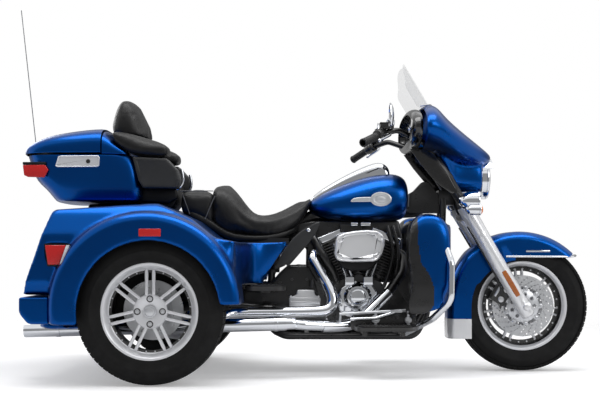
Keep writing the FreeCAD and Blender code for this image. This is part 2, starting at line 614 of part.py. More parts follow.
def engine():
    """Crankcase, finned V-twin barrels, rocker covers, gearbox, side covers and air cleaner."""
    cx, cz, half = dim("crank_x"), dim("crank_z"), dim("case_half_w")
    case = prism("crankcase_block", "XZ", (
        (150, 212, 30), (400, 206, 50), (428, 330, 60), (400, 420, 40), (cx, 462, 30), (165, 420, 40),
        (118, 330, 40)), "-Dim.case_half_w", "Dim.primary_y")
    gear = prism("gearbox_block", "XZ", (
        (-92, 246, 30), (130, 246, 0), (130, 410, 0), (60, 440, 20), (-70, 420, 40)), -95, 92)
    oil_tank = prism("oil_tank_block", "XZ", (
        (-66, 410, 20), (110, 400, 20), (92, 500, 20), (-8, 508, 30), (-58, 470, 30)), -84, 80)
    cooler = prism("oil_cooler_block", "XZ", (
        (410, 262, 0), (470, 232, 20), (560, 240, 20), (566, 470, 20), (548, 500, 10), (480, 500, 10),
        (470, 400, 20), (410, 330, 0)), -62, 62)
    keep(together("MultiFuse", "case_and_gearbox", [case, gear, oil_tank, cooler]), "crankcase")
    plates = []
    count, pitch = int(dim("fin_count")), dim("fin_pitch")
    for i in range(count):
        top = dim("fin_start") + i * pitch
        w = dim("fin_half")
        plates.append(leaned(Part.makeBox(2 * w, 2 * w - 6, dim("fin_thick"), V(cx - w, -w + 3, cz + top))))
    core = leaned(Part.makeCylinder(62, pitch * count - 2, V(cx, 0, cz + dim("fin_start") - 6)))
    barrel = core.multiFuse(plates).common(Part.makeBox(500, 400, 700, V(cx - 503, -200, 0)))
    middle = V(cx, 0, 0)
    pair = Part.Compound([barrel, barrel.mirror(middle, V(1, 0, 0))])
    keep(solid("barrels", pair.cut(shape_of("crankcase"))), "cylinders")
    top = dim("fin_start") + pitch * count - 8
    lower = Part.makeBox(150, 150, 22, V(cx - 75, -75, cz + top))
    upper = Part.makeBox(128, 124, 14, V(cx - 64, -62, cz + top + 22))
    cover = leaned(lower.fuse(upper))
    keep(solid("rocker_pair", Part.Compound([cover, cover.mirror(middle, V(1, 0, 0))])), "rocker_covers")
    cam = Part.makeCylinder(66, 46, V(279, -half, 356), V(0, -1, 0)).fuse(
        Part.makeCylinder(50, 22, V(279, -half - 46, 356), V(0, -1, 0)))
    lifters = [Part.makeBox(46, 40, 44, V(cx + s * 44 - 23, -half - 40, 412)) for _, s in SIDES]
    rods = []
    for _, s in SIDES:
        for offset in (30, 58):
            rods.append(rod(V(cx + s * offset, -97, 450), V(cx + s * (offset + 58), -90, 606), 8))
    chrome = solid("cam_and_pushrods", cam.multiFuse(lifters + rods))
    primary = prism("primary_block", "XZ", (
        (-70, 250, 90), (60, 214, 90), (330, 232, 90), (400, 330, 90), (350, 440, 90), (60, 444, 110),
        (-80, 380, 80)), "Dim.primary_y", "Dim.primary_y + 72")
    side_cover = prism("gear_cover_block", "XZ", (
        (-40, 300, 14), (102, 300, 14), (100, 362, 16), (70, 392, 10), (-8, 392, 10), (-42, 362, 14)),
        -136, -95)
    keep(together("Compound", "cover_set", [chrome, primary, side_cover]), "engine_covers")
    cleaner = prism("air_cleaner_block", "XZ", (
        (164, 549, 16), (172, 640, 22), (214, 657, 40), (311, 667, 60), (378, 662, 22), (398, 631, 20),
        (389, 567, 30), (366, 521, 20), (187, 521, 20)), -228, -112)
    keep(cleaner, "air_cleaner")


# Exhaust paths: x, y, z from the ports back
FRONT_HEADER = ((436, -50, 568), (500, -66, 556), (488, -108, 470), (425, -142, 385), (330, -180, 290),
                (262, -214, 240), (196, -248, 226), (40, -310, 236), (-60, -348, 246))
REAR_HEADER = ((112, -86, 566), (52, -150, 560), (160, -206, 372), (150, -226, 298), (20, -240, 292),
               (-300, -262, 288), (-360, -316, 262))
CROSSOVER = ((-20, -320, 240), (-150, -240, 232), (-194, -120, 230), (-194, 120, 230), (-250, 290, 238),
             (-330, 348, 243))
LEFT_MUFFLER_FRONT_X = -330


def exhaust():
    """Two header pipes that join the right silencer, and a crossover to the left one."""
    ends = {}
    for word, side in SIDES:
        front_x = dim("muffler_front_x") if side < 0 else LEFT_MUFFLER_FRONT_X
        front = V(front_x, side * dim("muffler_y"), 246)
        rear = V(dim("muffler_rear_x"), side * dim("muffler_y"), 215)
        bore = rod(rear + (front - rear).normalize() * 120, rear, dim("muffler_r") - 4)
        ends[word] = rod(front, rear, dim("muffler_r")).cut(bore)
    right = ends["right"].multiFuse([tube(FRONT_HEADER, dim("header_r"), 80),
                                     tube(REAR_HEADER, dim("header_r"), 70)])
    left = ends["left"].fuse(tube(CROSSOVER, 17, 60))
    whole = right.fuse(left)
    for label in ("cylinders", "crankcase"):
        whole = whole.cut(shape_of(label))
    keep(solid("pipes", whole), "exhaust")


# ---------------------------------------------------------------- guards, boards and leg shields


def guards_and_boards():
    """Engine guard, rider and passenger boards, pedal and shift lever. Returns the guard's left path."""
    arch = [(650, 0, 668), (652, 140, 664), (646, 336, 628), (678, 406, 520), (676, 404, 350),
            (604, 330, 268), (500, 150, 190)]
    loops = [tube(flip(arch, s), dim("guard_r"), 70) for _, s in SIDES]
    guard = loops[0].fuse(loops[1]).cut(shape_of("frame"))
    keep(solid("guard_tube", guard), "engine_guard")
    board = prism("board_block", "XY", (
        (250, 272, 20), (262, 404, 30), (500, 404, 40), (545, 300, 20), (540, 272, 10)), 214, 232)
    hanger = solid("board_hanger", rod(V(300, 128, 196), V(300, 330, 196), 11).multiFuse(
        [rod(V(470, 128, 196), V(470, 330, 196), 11), Part.makeBox(26, 60, 10, V(287, 268, 204)),
         Part.makeBox(26, 60, 10, V(457, 268, 204))]))
    perch = prism("perch_block", "XY", (
        (-245, 236, 20), (-235, 330, 30), (-70, 330, 30), (-55, 236, 10)), 392, 412)
    post = box("perch_post", (-170, -130), (84, 240), (380, 392))
    halves = [together("MultiFuse", "board_left", [board, hanger]),
              together("MultiFuse", "perch_left", [perch, post])]
    both_sides("footboards", without("boards_left", together("Compound", "boards_drawn", halves),
                                     solid("board_frame_room", shape_of("frame"))))
    pedal = tube([(236, -286, 262), (350, -290, 266), (442, -296, 296)], 8, 40).multiFuse(
        [rod(V(348, -240, 240), V(348, -266, 240), 19), rod(V(348, -254, 240), V(352, -290, 266), 8),
         Part.makeBox(52, 46, 10, V(416, -318, 294))])
    lever = tube([(246, 290, 300), (350, 292, 262), (452, 296, 298)], 7, 30).multiFuse(
        [rod(V(350, 240, 256), V(350, 266, 256), 15), rod(V(350, 262, 256), V(350, 292, 262), 7),
         rod(V(452, 282, 298), V(452, 330, 298), 12)])
    keep(solid("pedal_and_lever", Part.Compound([pedal, lever])), "foot_controls")
    return arch


SHIELD_SIDE = (
    # x, z, corner radius
    (537, 742, 30), (652, 744, 40), (690, 690, 60), (697, 560, 80), (692, 352, 40), (640, 318, 40),
    (560, 292, 20), (490, 282, 10), (486, 330, 20), (504, 430, 40), (486, 560, 60), (500, 680, 40),
)
SHIELD_FRONT = (
    # y, z, corner radius
    (140, 340, 20), (136, 560, 30), (250, 640, 50), (286, 742, 26), (350, 744, 40), (384, 640, 60),
    (390, 420, 50), (384, 280, 40), (230, 280, 40),
)
SHIELD_PLAN = ((700, 150, 40), (690, 300, 60), (640, 392, 40), (480, 392, 0), (480, 224, 0), (545, 216, 0),
               (545, 130, 0), (690, 130, 0))


def leg_shields(guard_path):
    """Hollow leg shields ahead of the rider's shins, open at the back."""
    levels = ((460, 720), (100, 400), (270, 760))
    outer = three_views("shield_outer", SHIELD_SIDE, SHIELD_FRONT, SHIELD_PLAN, *levels)
    inside = [(x - 14, z - (8 if z > 600 else -8), r) for x, z, r in SHIELD_SIDE]
    hollow = three_views("shield_inner", inside, shrunk(SHIELD_FRONT, 12, (265, 500)),
                         [(x - 14, y, r) for x, y, r in SHIELD_PLAN], *levels)
    guard = solid("guard_room", tube(guard_path, dim("guard_r") + 2, 70))
    both_sides("leg_shields", without("shield_left", outer, hollow, guard))


# ---------------------------------------------------------------- tank, seats and rear body


TANK_SIDE = (
    # x, z, corner radius
    (42, 792, 20), (170, 872, 160), (330, 938, 140), (440, 944, 70), (516, 880, 60), (520, 770, 50),
    (470, 712, 60), (120, 712, 60),
)
TANK_FRONT = (
    (0, 948, 0), (70, 944, 60), (158, 880, 80), (165, 780, 60), (120, 712, 40), (-120, 712, 40),
    (-165, 780, 60), (-158, 880, 80), (-70, 944, 60),
)
TANK_PLAN = ((36, 62, 30), (180, 150, 180), (440, 166, 100), (524, 110, 60), (524, -110, 60),
             (440, -166, 100), (180, -150, 180), (36, -62, 30))
CONSOLE_SIDE = ((60, 812, 0), (70, 842, 12), (200, 922, 80), (330, 984, 40), (392, 1000, 24),
                (432, 970, 20), (440, 900, 0), (330, 900, 0), (170, 838, 0))
RIDER_SEAT = (
    # x, z, corner radius
    (62, 842, 10), (-34, 772, 120), (-120, 728, 120), (-225, 734, 70), (-318, 882, 60), (-375, 898, 30),
    (-402, 872, 20), (-440, 708, 20), (-345, 632, 20), (-44, 640, 20), (32, 764, 40),
)
PASSENGER_SEAT = ((-409, 858, 12), (-548, 858, 20), (-596, 800, 30), (-592, 786, 4), (-451, 716, 4))


def tank_and_seats():
    """Fuel tank over the backbone, its console, and the two seat pads."""
    tank = three_views("tank_block", TANK_SIDE, TANK_FRONT, TANK_PLAN, (20, 540), (-170, 170), (700, 960))
    tunnel = box("tank_tunnel", (-20, 560), (-38, 38), (690, 800))
    console = prism("console_block", "XZ", CONSOLE_SIDE, -46, 46)
    keep(console, "tank_console")
    keep(without("tank_shell", tank, tunnel, console), "fuel_tank")
    spine_room = solid("seat_room", tube(SPINE, dim("backbone_r") + 5, 70))
    plan = ((70, 60, 30), (-60, 150, 90), (-240, 186, 120), (-460, 186, 20), (-460, -186, 20),
            (-240, -186, 120), (-60, -150, 90), (70, -60, 30))
    rider = three_views("rider_pad", RIDER_SEAT, None, plan, None, (-186, 186), (600, 920))
    tip_room = prism("seat_tip_room", "XZ", ((20, 690), (140, 690), (140, 900), (66, 846), (36, 764)), -200, 200)
    keep(without("rider_cushion", rider, spine_room, tip_room), "rider_seat")
    keep(prism("passenger_pad", "XZ", PASSENGER_SEAT, -178, 178), "passenger_seat")


BODY_SIDE = (
    # x, z, corner radius
    (-1046, 748, 24), (-604, 778, 20), (-447, 706, 40), (-345, 626, 30), (-262, 610, 0), (-262, 433, 0),
    (-790, 433, 0), (-820, 385, 0), (-1167, 385, 0),
)
BODY_REAR = ((-600, 380, 0), (-640, 440, 20), (-634, 640, 60), (-560, 790, 120), (560, 790, 120),
             (634, 640, 60), (640, 440, 20), (600, 380, 0))
TRUNK = ((-1028, 726, 10), (-640, 752, 10), (-500, 690, 20), (-500, 455, 0), (-778, 455, 0),
         (-810, 405, 0), (-1136, 405, 0))
DOOR = ((-1063, 700, 0), (-1163, 400, 0), (-1143, 394, 0), (-1043, 694, 0))


def rear_body():
    """Painted body: hollow trunk between two wheel arches, with the rear door and the bumper."""
    core = three_views("body_core", BODY_SIDE, BODY_REAR, None, (-1300, -200), (-640, 640), None)
    arches = []
    for word, side in SIDES:
        low, high = sorted((side * dim("arch_inner"), side * dim("arch_half_w")))
        section = ((0, side * dim("arch_inner"), 0), (dim("arch_r"), side * dim("arch_inner"), 0),
                   (dim("arch_r"), side * dim("arch_half_w"), dim("arch_round")),
                   (0, side * dim("arch_half_w"), 0))
        drum = turned(f"arch_{word}", section, "Dim.arch_x", "0", "Dim.arch_z")
        below = box(f"arch_below_{word}", (-1300, -640), (low - 5, high + 5), (-100, 262))
        ahead = box(f"arch_ahead_{word}", (-641, 0), (low - 5, high + 5), (-100, 346))
        arches.append(without(f"arch_trim_{word}", drum, below, ahead))
    panel = ((-270, 608, 0), (-60, 612, 30), (-36, 628, 8), (-172, 425, 16), (-270, 425, 0))
    arches.append(prism("panel_left", "XZ", panel, 206, 286))
    arches.append(prism("panel_right", "XZ", panel, -286, -206))
    shoulder = prism("shoulder_left", "XY", ((-300, 240, 0), (-150, 240, 0), (-162, 286, 20), (-218, 320, 60),
                                             (-250, 440, 100), (-262, 600, 30), (-300, 600, 0)), 425, 610)
    arches += [shoulder, mirrored("shoulder_right", shoulder)]
    whole = together("MultiFuse", "body_whole", [core] + arches)
    tools = [prism("trunk_room", "XZ", TRUNK, -400, 400)]
    for word, side in SIDES:
        low, high = sorted((side * dim("well_inner"), side * dim("well_outer")))
        tools.append(disc_y(f"well_{word}", "Dim.well_r", "Dim.axle_rear_x", "Dim.rear_tyre_r", low, high))
        low, high = sorted((side * 400, side * 430))
        tools.append(box(f"axle_gate_{word}", (-725, -525), (low, high), (200, 390)))
        low, high = sorted((side * 600, side * 720))
        tools.append(disc_y(f"opening_{word}", "Dim.opening_r", "Dim.axle_rear_x", "Dim.rear_tyre_r",
                            low, high))
    opening = ((-1120, 712, 0), (-1230, 388, 0), (-1135, 388, 0), (-1027, 708, 0))
    tools.append(prism("door_opening", "XZ", opening, "-(Dim.door_half_w + Dim.door_gap)",
                       "Dim.door_half_w + Dim.door_gap"))
    lamp = ((-1062, 596, 6), (-958, 596, 6), (-990, 514, 6), (-1050, 514, 6))
    tools.append(prism("lamp_pocket_left", "XZ", lamp, 600, 700))
    tools.append(prism("lamp_pocket_right", "XZ", lamp, -700, -600))
    keep(without("body_shell", whole, *tools), "rear_body")
    panel = prism("door_panel", "XZ", DOOR, "-Dim.door_half_w", "Dim.door_half_w")
    pad = prism("plate_pad", "XZ", ((-1146, 530, 0), (-1146, 640, 0), (-1072, 640, 0), (-1100, 530, 0)),
                -120, 120)
    bolts = []
    for word, side in SIDES:
        drilled = solid(f"plate_bolt_{word}", rod(V(-1160, 0, 0), V(-1120, 0, 0), dim("plate_hole_r")))
        drilled.Placement.Base = V(0, side * dim("plate_hole_gap") / 2, 610)
        bolts.append(drilled)
    keep(without("door_with_pad", together("MultiFuse", "door_fused", [panel, pad]), *bolts), "trunk_door")
    outline = ((-1178, 377, 6), (-1178, 310, 40), (-1140, 262, 30), (-1052, 262, 0), (-1052, 377, 0))
    half = dim("bumper_half_w")
    bumper = prism("bumper_block", "XZ", outline, -half, half)
    room = prism("bumper_room", "XZ", ((-1160, 390, 0), (-1160, 314, 30), (-1132, 280, 20), (-1000, 280, 0),
                                       (-1000, 390, 0)), f"-{half - dim('bumper_plate')}",
                 f"{half - dim('bumper_plate')}")
    keep(without("bumper_shell", bumper, room, solid("bumper_body_room", shape_of("rear_body"))), "rear_bumper")
    tail = prism("tail_lamp_left", "XZ", shrunk(lamp, 1.5, (-1015, 556)), 601, 643)
    marker = prism("marker_left", "XZ", ((-662, 632, 12), (-662, 664, 12), (-570, 664, 12),
                                         (-570, 632, 12)), 690, 695)
    case_lamp = prism("case_lamp_left", "XZ", CASE_LAMP, 246, 296)
    cover = without("case_lamp_trim", case_lamp, box("case_lamp_room", (-1220, -1100), (200, 281), (890, 980)))
    both_sides("rear_lamps", together("Compound", "lamps_left", [tail, marker, cover]))


# ---------------------------------------------------------------- top case, backrest and aerial


CASE_SIDE = ((-1262, 1009, 10), (-1226, 900, 20), (-1172, 852, 20), (-1128, 794, 20), (-731, 794, 20),
             (-765, 1009, 4))
CASE_PLAN = ((-1264, 190, 60), (-1180, 290, 60), (-700, 290, 0), (-700, -290, 0), (-1180, -290, 60),
             (-1264, -190, 60))
LID_SIDE = ((-1266, 1015, 6), (-1262, 1046, 24), (-1156, 1106, 120), (-972, 1140, 200), (-898, 1144, 20),
            (-767, 1015, 6))
COWL_SIDE = ((-960, 1008, 0), (-960, 1141, 0), (-898, 1144, 20), (-765, 1008, 6))
LID_FRONT = ((-292, 1015, 4), (-290, 1060, 40), (-230, 1120, 60), (0, 1146, 0), (230, 1120, 60),
             (290, 1060, 40), (292, 1015, 4))
CASE_LAMP = ((-1270, 904, 10), (-1270, 966, 10), (-1148, 966, 14), (-1134, 940, 14), (-1150, 904, 14))


def top_case():
    """Luggage case with a side-hinged lid, a fixed cowl ahead of it, lamps, pods and aerial."""
    wall = dim("case_wall")
    outer = three_views("case_outer", CASE_SIDE, None, CASE_PLAN, None, (-290, 290), (780, 1020))
    room = three_views("case_room", shrunk(CASE_SIDE, wall + 4, (-990, 1010)), None,
                       shrunk(CASE_PLAN, wall, (-990, 0)), None, (-282, 282), (806, 1060))
    open_top = prism("case_mouth", "XY", shrunk(CASE_PLAN, wall + 2, (-1000, 0)), 960, 1060)
    open_trim = together("MultiCommon", "case_mouth_trim", [
        open_top, box("case_mouth_box", (-1246, -782), (-281, 281), (960, 1060))])
    pockets = prism("lamp_pocket", "XZ", CASE_LAMP, 246, 296)
    shell = without("case_shell", outer, room, open_trim, pockets, mirrored("lamp_pocket_twin", pockets))
    lid = three_views("lid_outer", LID_SIDE, LID_FRONT, CASE_PLAN, (-1300, -700), (-295, 295), (1000, 1200))
    lid_room = three_views("lid_room", [(x * 1.0 + (10 if x < -1000 else -10), z - 10, max(r - 8, 0))
                                        for x, z, r in LID_SIDE],
                           shrunk(LID_FRONT, 10, (0, 1015)), None, (-1300, -700), (-283, 283), None)
    hollow = without("lid_hollow", lid, lid_room)
    cowl = three_views("cowl_outer", COWL_SIDE, [(y, z - 7 if z < 1020 else z, r) for y, z, r in LID_FRONT],
                       CASE_PLAN, (-1300, -700), (-295, 295), (1000, 1200))
    front = box("cowl_side", ("Dim.lid_front_x + 3", -600), (-400, 400), (900, 1300))
    back = box("lid_side", (-1400, "Dim.lid_front_x - 3"), (-400, 400), (900, 1300))
    keep(together("MultiCommon", "lid_cut", [hollow, back]), "top_case_lid")
    cowl_cut = together("MultiCommon", "cowl_cut", [cowl, front])
    keep(together("MultiFuse", "case_and_cowl", [shell, cowl_cut]), "top_case")
    plinth = prism("plinth_block", "XZ", ((-1040, 750, 0), (-1040, 793, 0), (-700, 793, 0), (-690, 771, 0)),
                   -200, 200)
    pod = prism("pod_block", "XZ", ((-762, 1003, 4), (-606, 1003, 20), (-540, 930, 60), (-530, 880, 30),
                                    (-548, 856, 14), (-728, 856, 8)), 151, 296)
    shelf = prism("shelf_block", "XZ", ((-729, 850, 0), (-729, 860, 0), (-600, 860, 0), (-556, 850, 20),
                                        (-600, 806, 10), (-700, 788, 0), (-729, 788, 0)), -200, 200)
    drawn = together("MultiFuse", "case_base_drawn", [plinth, pod, mirrored("pod_twin", pod), shelf])
    keep(without("base_fit", drawn, nodes[-1], solid("base_body_room", shape_of("rear_body"))), "case_base")
    back = prism("back_pad", "XZ", ((-862, 1113, 20), (-884, 1148, 10), (-846, 1270, 30), (-816, 1289, 24),
                                    (-782, 1276, 40), (-700, 1110, 10), (-640, 1050, 30), (-540, 950, 60),
                                    (-492, 890, 60), (-524, 866, 20), (-600, 1010, 60), (-724, 1010, 10),
                                    (-766, 1017, 0)), -150, 150)
    arm = prism("arm_block", "XZ", ((-760, 1009, 4), (-868, 1113, 10), (-700, 1106, 60), (-606, 1062, 30),
                                    (-536, 1034, 30), (-524, 980, 20), (-560, 972, 20), (-606, 1009, 10)),
                149, 286)
    pads = together("MultiFuse", "pads_drawn", [back, arm, mirrored("arm_twin", arm)])
    keep(without("pads_fit", pads, solid("pad_case_room", shape_of("top_case").fuse(shape_of("case_base")))),
         "backrest")
    mast_foot, mast_tip = V(-1296, 170, 1052), V(-1374, 170, 1764)
    aerial = rod(mast_foot, mast_tip, 2.2).multiFuse(
        [rod(V(-1290, 170, 985), mast_foot, 8), Part.makeBox(48, 24, 12, V(-1300, 158, 985))])
    keep(solid("mast", aerial.cut(shape_of("top_case"))), "aerial")


SIDE_COVER = (
    # x, z, corner radius
    (96, 712, 16), (20, 676, 60), (-36, 596, 40), (-62, 520, 30), (-50, 494, 12), (18, 572, 60), (82, 652, 40),
)


def side_boxes():
    """Dark covers between the engine and the rear wheels, and the frame cover below the seat."""
    cover = prism("frame_cover_block", "XZ", SIDE_COVER, 150, 170)
    battery = prism("battery_block", "XZ", ((-250, 300, 20), (-250, 376, 10), (-170, 376, 10),
                                            (-170, 300, 20)), -100, 60)
    keep(together("Compound", "cover_pieces", [cover, mirrored("cover_twin", cover), battery]), "side_covers")


front_wheel()
rear_wheels()
fork_legs()
fairing_block = front_fairing(handlebar())
windscreen(fairing_block)
front_lamps()
front_fender()
calipers()
frame()
rear_axle()
engine()
exhaust()
leg_shields(guards_and_boards())
tank_and_seats()
rear_body()
top_case()
side_boxes()
doc.recompute()

os.makedirs("parts", exist_ok=True)
for feature in doc.Objects:
    if "Invalid" in feature.State or "Error" in feature.State:
        raise RuntimeError(f"{feature.Name} ({feature.Label}) is {feature.State}")
for node in nodes:
    if node.Shape.isNull() or not node.Shape.isValid() or node.Shape.Volume <= 0:
        raise RuntimeError(f"{node.Label} has no valid shape")
    node.Shape.exportStep(f"parts/{node.Label}.step")
print(f"{len(nodes)} sub-parts written")
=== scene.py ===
"""Dresses the touring three-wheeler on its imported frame.

Lengths are metres in the frame of the CAD model: X forward, Y to the rider's left, Z up. Tables of sizes are
millimetres, inside mm() and sections().
"""

import logging
import math
from collections.abc import Callable, Sequence
from dataclasses import dataclass
from enum import Enum, auto
from typing import Any

import bmesh
import bpy
from mathutils import Matrix, Vector


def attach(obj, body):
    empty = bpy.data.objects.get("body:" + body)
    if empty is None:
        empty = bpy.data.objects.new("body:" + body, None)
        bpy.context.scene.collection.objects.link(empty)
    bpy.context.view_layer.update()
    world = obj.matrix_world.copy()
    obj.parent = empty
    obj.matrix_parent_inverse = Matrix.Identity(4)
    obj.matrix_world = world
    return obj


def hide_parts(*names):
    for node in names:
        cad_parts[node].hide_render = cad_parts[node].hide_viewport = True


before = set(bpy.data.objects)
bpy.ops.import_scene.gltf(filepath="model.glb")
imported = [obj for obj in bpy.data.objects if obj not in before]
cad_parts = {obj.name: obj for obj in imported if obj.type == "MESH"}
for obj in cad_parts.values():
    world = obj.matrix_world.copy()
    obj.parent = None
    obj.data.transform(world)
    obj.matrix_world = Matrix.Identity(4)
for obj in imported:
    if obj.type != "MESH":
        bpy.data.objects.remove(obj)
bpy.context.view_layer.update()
log = logging.getLogger("trike")

Point = tuple[float, float, float]
Colour = tuple[float, float, float]
Outline = tuple[tuple[float, float], ...]
Socket = bpy.types.NodeSocket
Test = Callable[[Vector, Vector], bool]
LEFT, RIGHT = 1, -1
SIDES = (("left", LEFT), ("right", RIGHT))
ORIGIN = (0.0, 0.0, 0.0)
WHITE = (1.0, 1.0, 1.0, 1.0)
WORN_EDGE = (0.5, 0.5, 0.5, 1.0)
WELD_GAP = 0.00002


def mm(*table: Any) -> tuple[Any, ...]:
    """Turns numbers in millimetres, nested to any depth, into metres."""
    return tuple(mm(*entry) if isinstance(entry, tuple) else round(entry / 1000, 7) for entry in table)


# ---- finishes


def linear(colour: Colour) -> tuple[float, ...]:
    """Turns a display colour, 0 to 255, into the linear colour and full alpha that a shader takes."""
    parts = [c / 255 for c in colour]
    return (*[p / 12.92 if p <= 0.04045 else ((p + 0.055) / 1.055) ** 2.4 for p in parts], 1.0)


class Grain(Enum):
    """The small relief of a surface."""

    FLAKE = auto()
    BRUSHED = auto()
    CAST = auto()
    LEATHER = auto()
    MOULDED = auto()
    PLATED = auto()
    RIBBED = auto()


class Nodes:
    """A short way to add linked shader nodes to one material."""

    def __init__(self, name: str) -> None:
        """Starts a material that holds an output and a Principled shader.

        Args:
            name: The name.
        """
        self.material = bpy.data.materials.new(name)
        self.material.use_nodes = True
        self.tree = self.material.node_tree
        self.tree.nodes.clear()
        self.output = self.add("OutputMaterial")
        self.shader = self.add("BsdfPrincipled")
        self.feed(self.output, {"Surface": self.shader.outputs["BSDF"]})

    def feed(self, node: bpy.types.Node, inputs: dict[str | int, Any]) -> None:
        """Gives a node's inputs their values, or links the sockets that drive them.

        Args:
            node: The node.
            inputs: The values or sockets, by the input's name.
        """
        for key, value in inputs.items():
            if isinstance(value, Socket):
                self.tree.links.new(value, node.inputs[key])
            else:
                node.inputs[key].default_value = value

    def add(self, kind: str, inputs: dict[str | int, Any] | None = None, **settings: Any) -> bpy.types.Node:
        """Adds a node.

        Args:
            kind: The node's type name after "ShaderNode".
            inputs: Values or sockets by input name or number.
            settings: Attributes of the node itself.

        Returns:
            The new node.
        """
        node = self.tree.nodes.new("ShaderNode" + kind)
        for key, value in settings.items():
            setattr(node, key, value)
        self.feed(node, inputs or {})
        return node

    def noise(self, place: Socket, scale: float, detail: float = 2.0) -> Socket:
        """The strength of a cloudy pattern."""
        return self.add("TexNoise", {"Vector": place, "Scale": scale, "Detail": detail}).outputs["Fac"]

    def spread(self, value: Socket, low: float, high: float, start: float = 0.0, end: float = 1.0) -> Socket:
        """Spreads what lies between low and high over another range."""
        return self.add("MapRange", {"Value": value, "From Min": low, "From Max": high, "To Min": start,
                                     "To Max": end}).outputs["Result"]

    def blend(self, share: Socket, first: Any, other: Any) -> Socket:
        """Mixes two colours."""
        return self.add("Mix", {"Factor": share, "A": first, "B": other}, data_type="RGBA").outputs["Result"]


@dataclass(frozen=True)
class Finish:
    """One procedural surface finish: two colours that drift into each other, relief and gloss."""

    name: str
    slot: str
    colour: Colour
    accent: Colour
    rough: tuple[float, float]
    grain: Grain
    grain_size: float = 0.001
    relief: float = 0.0001
    drift: float = 0.12
    metallic: float = 0.0
    coat: float = 0.0
    sheen: float = 0.0
    transmission: float = 0.0
    glow: float = 0.0
    edge_wear: float = 0.0
    alpha: float = 1.0
    ior: float = 1.5
    specular: float = 0.5

    def height(self, nodes: Nodes, place: Socket) -> Socket:
        """Makes the relief pattern.

        Args:
            nodes: The material in the making.
            place: Object coordinates.

        Returns:
            The socket that gives the height of the surface, 0 to 1.
        """
        scale = 1 / self.grain_size
        match self.grain:
            case Grain.FLAKE | Grain.LEATHER:
                cells = nodes.add("TexVoronoi", {"Vector": place, "Scale": scale}).outputs["Distance"]
                if self.grain is Grain.FLAKE:
                    return cells
                wrinkle = nodes.noise(place, scale / 9, 5.0)
                return nodes.add("Math", {0: wrinkle, 1: 1.6, 2: cells}, operation="MULTIPLY_ADD").outputs[0]
            case Grain.BRUSHED:
                stretched = nodes.add("Mapping", {"Vector": place, "Scale": (1.0, 14.0, 1.0)})
                return nodes.noise(stretched.outputs[0], scale / 6)
            case Grain.RIBBED:
                return nodes.add("TexWave", {"Vector": place, "Scale": scale / 6}, bands_direction="Z").outputs["Fac"]
        return nodes.noise(place, scale, 3.0)

    def build(self) -> bpy.types.Material:
        """Makes the material, or finds the one already made.

        Returns:
            The Blender material.
        """
        made = bpy.data.materials.get(self.name)
        if made:
            return made
        nodes = Nodes(self.name)
        place = nodes.add("TexCoord").outputs["Object"]
        cloud = nodes.spread(nodes.noise(place, 1 / self.drift, 6.0), 0.3, 0.7)
        colour = nodes.blend(cloud, linear(self.colour), linear(self.accent))
        if self.edge_wear > 0:
            edge = nodes.spread(nodes.add("NewGeometry").outputs["Pointiness"], 0.52, 0.6, 0.0, self.edge_wear)
            colour = nodes.blend(edge, colour, WORN_EDGE)
        gloss = nodes.spread(nodes.noise(place, 3.3 / self.drift, 8.0), 0.35, 0.65, *self.rough)
        bump = nodes.add("Bump", {"Height": self.height(nodes, place), "Strength": 1.0, "Distance": self.relief})
        nodes.feed(nodes.shader, {
            "Base Color": colour, "Roughness": gloss, "Normal": bump.outputs["Normal"], "Metallic": self.metallic,
            "Coat Weight": self.coat, "Coat Roughness": 0.03, "Sheen Weight": self.sheen,
            "Transmission Weight": self.transmission, "Alpha": self.alpha, "IOR": self.ior,
            "Specular IOR Level": self.specular})
        if self.glow > 0:
            nodes.feed(nodes.shader, {"Emission Color": linear(self.colour), "Emission Strength": self.glow})
        return nodes.material


PAINT = Finish("blue_metallic_lacquer", "blue_paint", (0, 72, 146), (0, 66, 138), (0.27, 0.31), Grain.FLAKE,
               0.0006, 0.000004, drift=0.5, metallic=1.0, coat=0.12)
SATIN = Finish("satin_alloy", "chrome", (208, 210, 213), (198, 200, 204), (0.28, 0.34), Grain.BRUSHED,
               0.003, 0.00002, drift=0.3, metallic=0.55, coat=0.3)
CHROME = Finish("bright_chrome", "chrome", (224, 226, 230), (214, 217, 222), (0.04, 0.09), Grain.PLATED,
                0.02, 0.00002, drift=0.2, metallic=1.0)
BLACK_ENAMEL = Finish("black_enamel", "black_steel", (9, 9, 10), (15, 15, 17), (0.26, 0.36), Grain.CAST,
                      0.002, 0.00006, coat=0.15, edge_wear=0.06)
BRIGHT_ALLOY = Finish("bright_alloy", "chrome", (228, 229, 231), (220, 221, 224), (0.22, 0.27), Grain.BRUSHED,
                      0.003, 0.00001, drift=0.4, metallic=0.4, coat=0.5)
WHEEL_SILVER = Finish("machined_wheel_silver", "cast_wheel", (222, 223, 226), (214, 215, 219), (0.3, 0.34),
                      Grain.CAST, 0.0015, 0.00001, drift=0.6, metallic=0.35, coat=0.5)
BRAKE_STEEL = Finish("brushed_brake_steel", "brake_steel", (206, 207, 209), (184, 186, 189), (0.25, 0.4),
                     Grain.BRUSHED, 0.004, 0.00008, metallic=0.6)
RUBBER = Finish("tyre_compound", "tyre_rubber", (17, 17, 18), (23, 23, 23), (0.62, 0.78), Grain.MOULDED,
                0.002, 0.00015, specular=0.2)
LEATHER = Finish("seat_leather", "seat_cover", (11, 11, 12), (19, 19, 20), (0.38, 0.5), Grain.LEATHER,
                 0.0035, 0.0004, sheen=0.02, drift=0.08, specular=0.3)
BLACK_PLASTIC = Finish("black_moulding", "black_plastic", (8, 8, 9), (13, 13, 14), (0.4, 0.52), Grain.MOULDED,
                       0.0012, 0.0002, specular=0.25)
WHIP_GREY = Finish("aerial_whip", "black_plastic", (120, 122, 125), (104, 106, 109), (0.35, 0.45), Grain.MOULDED,
                   0.001, 0.00005)
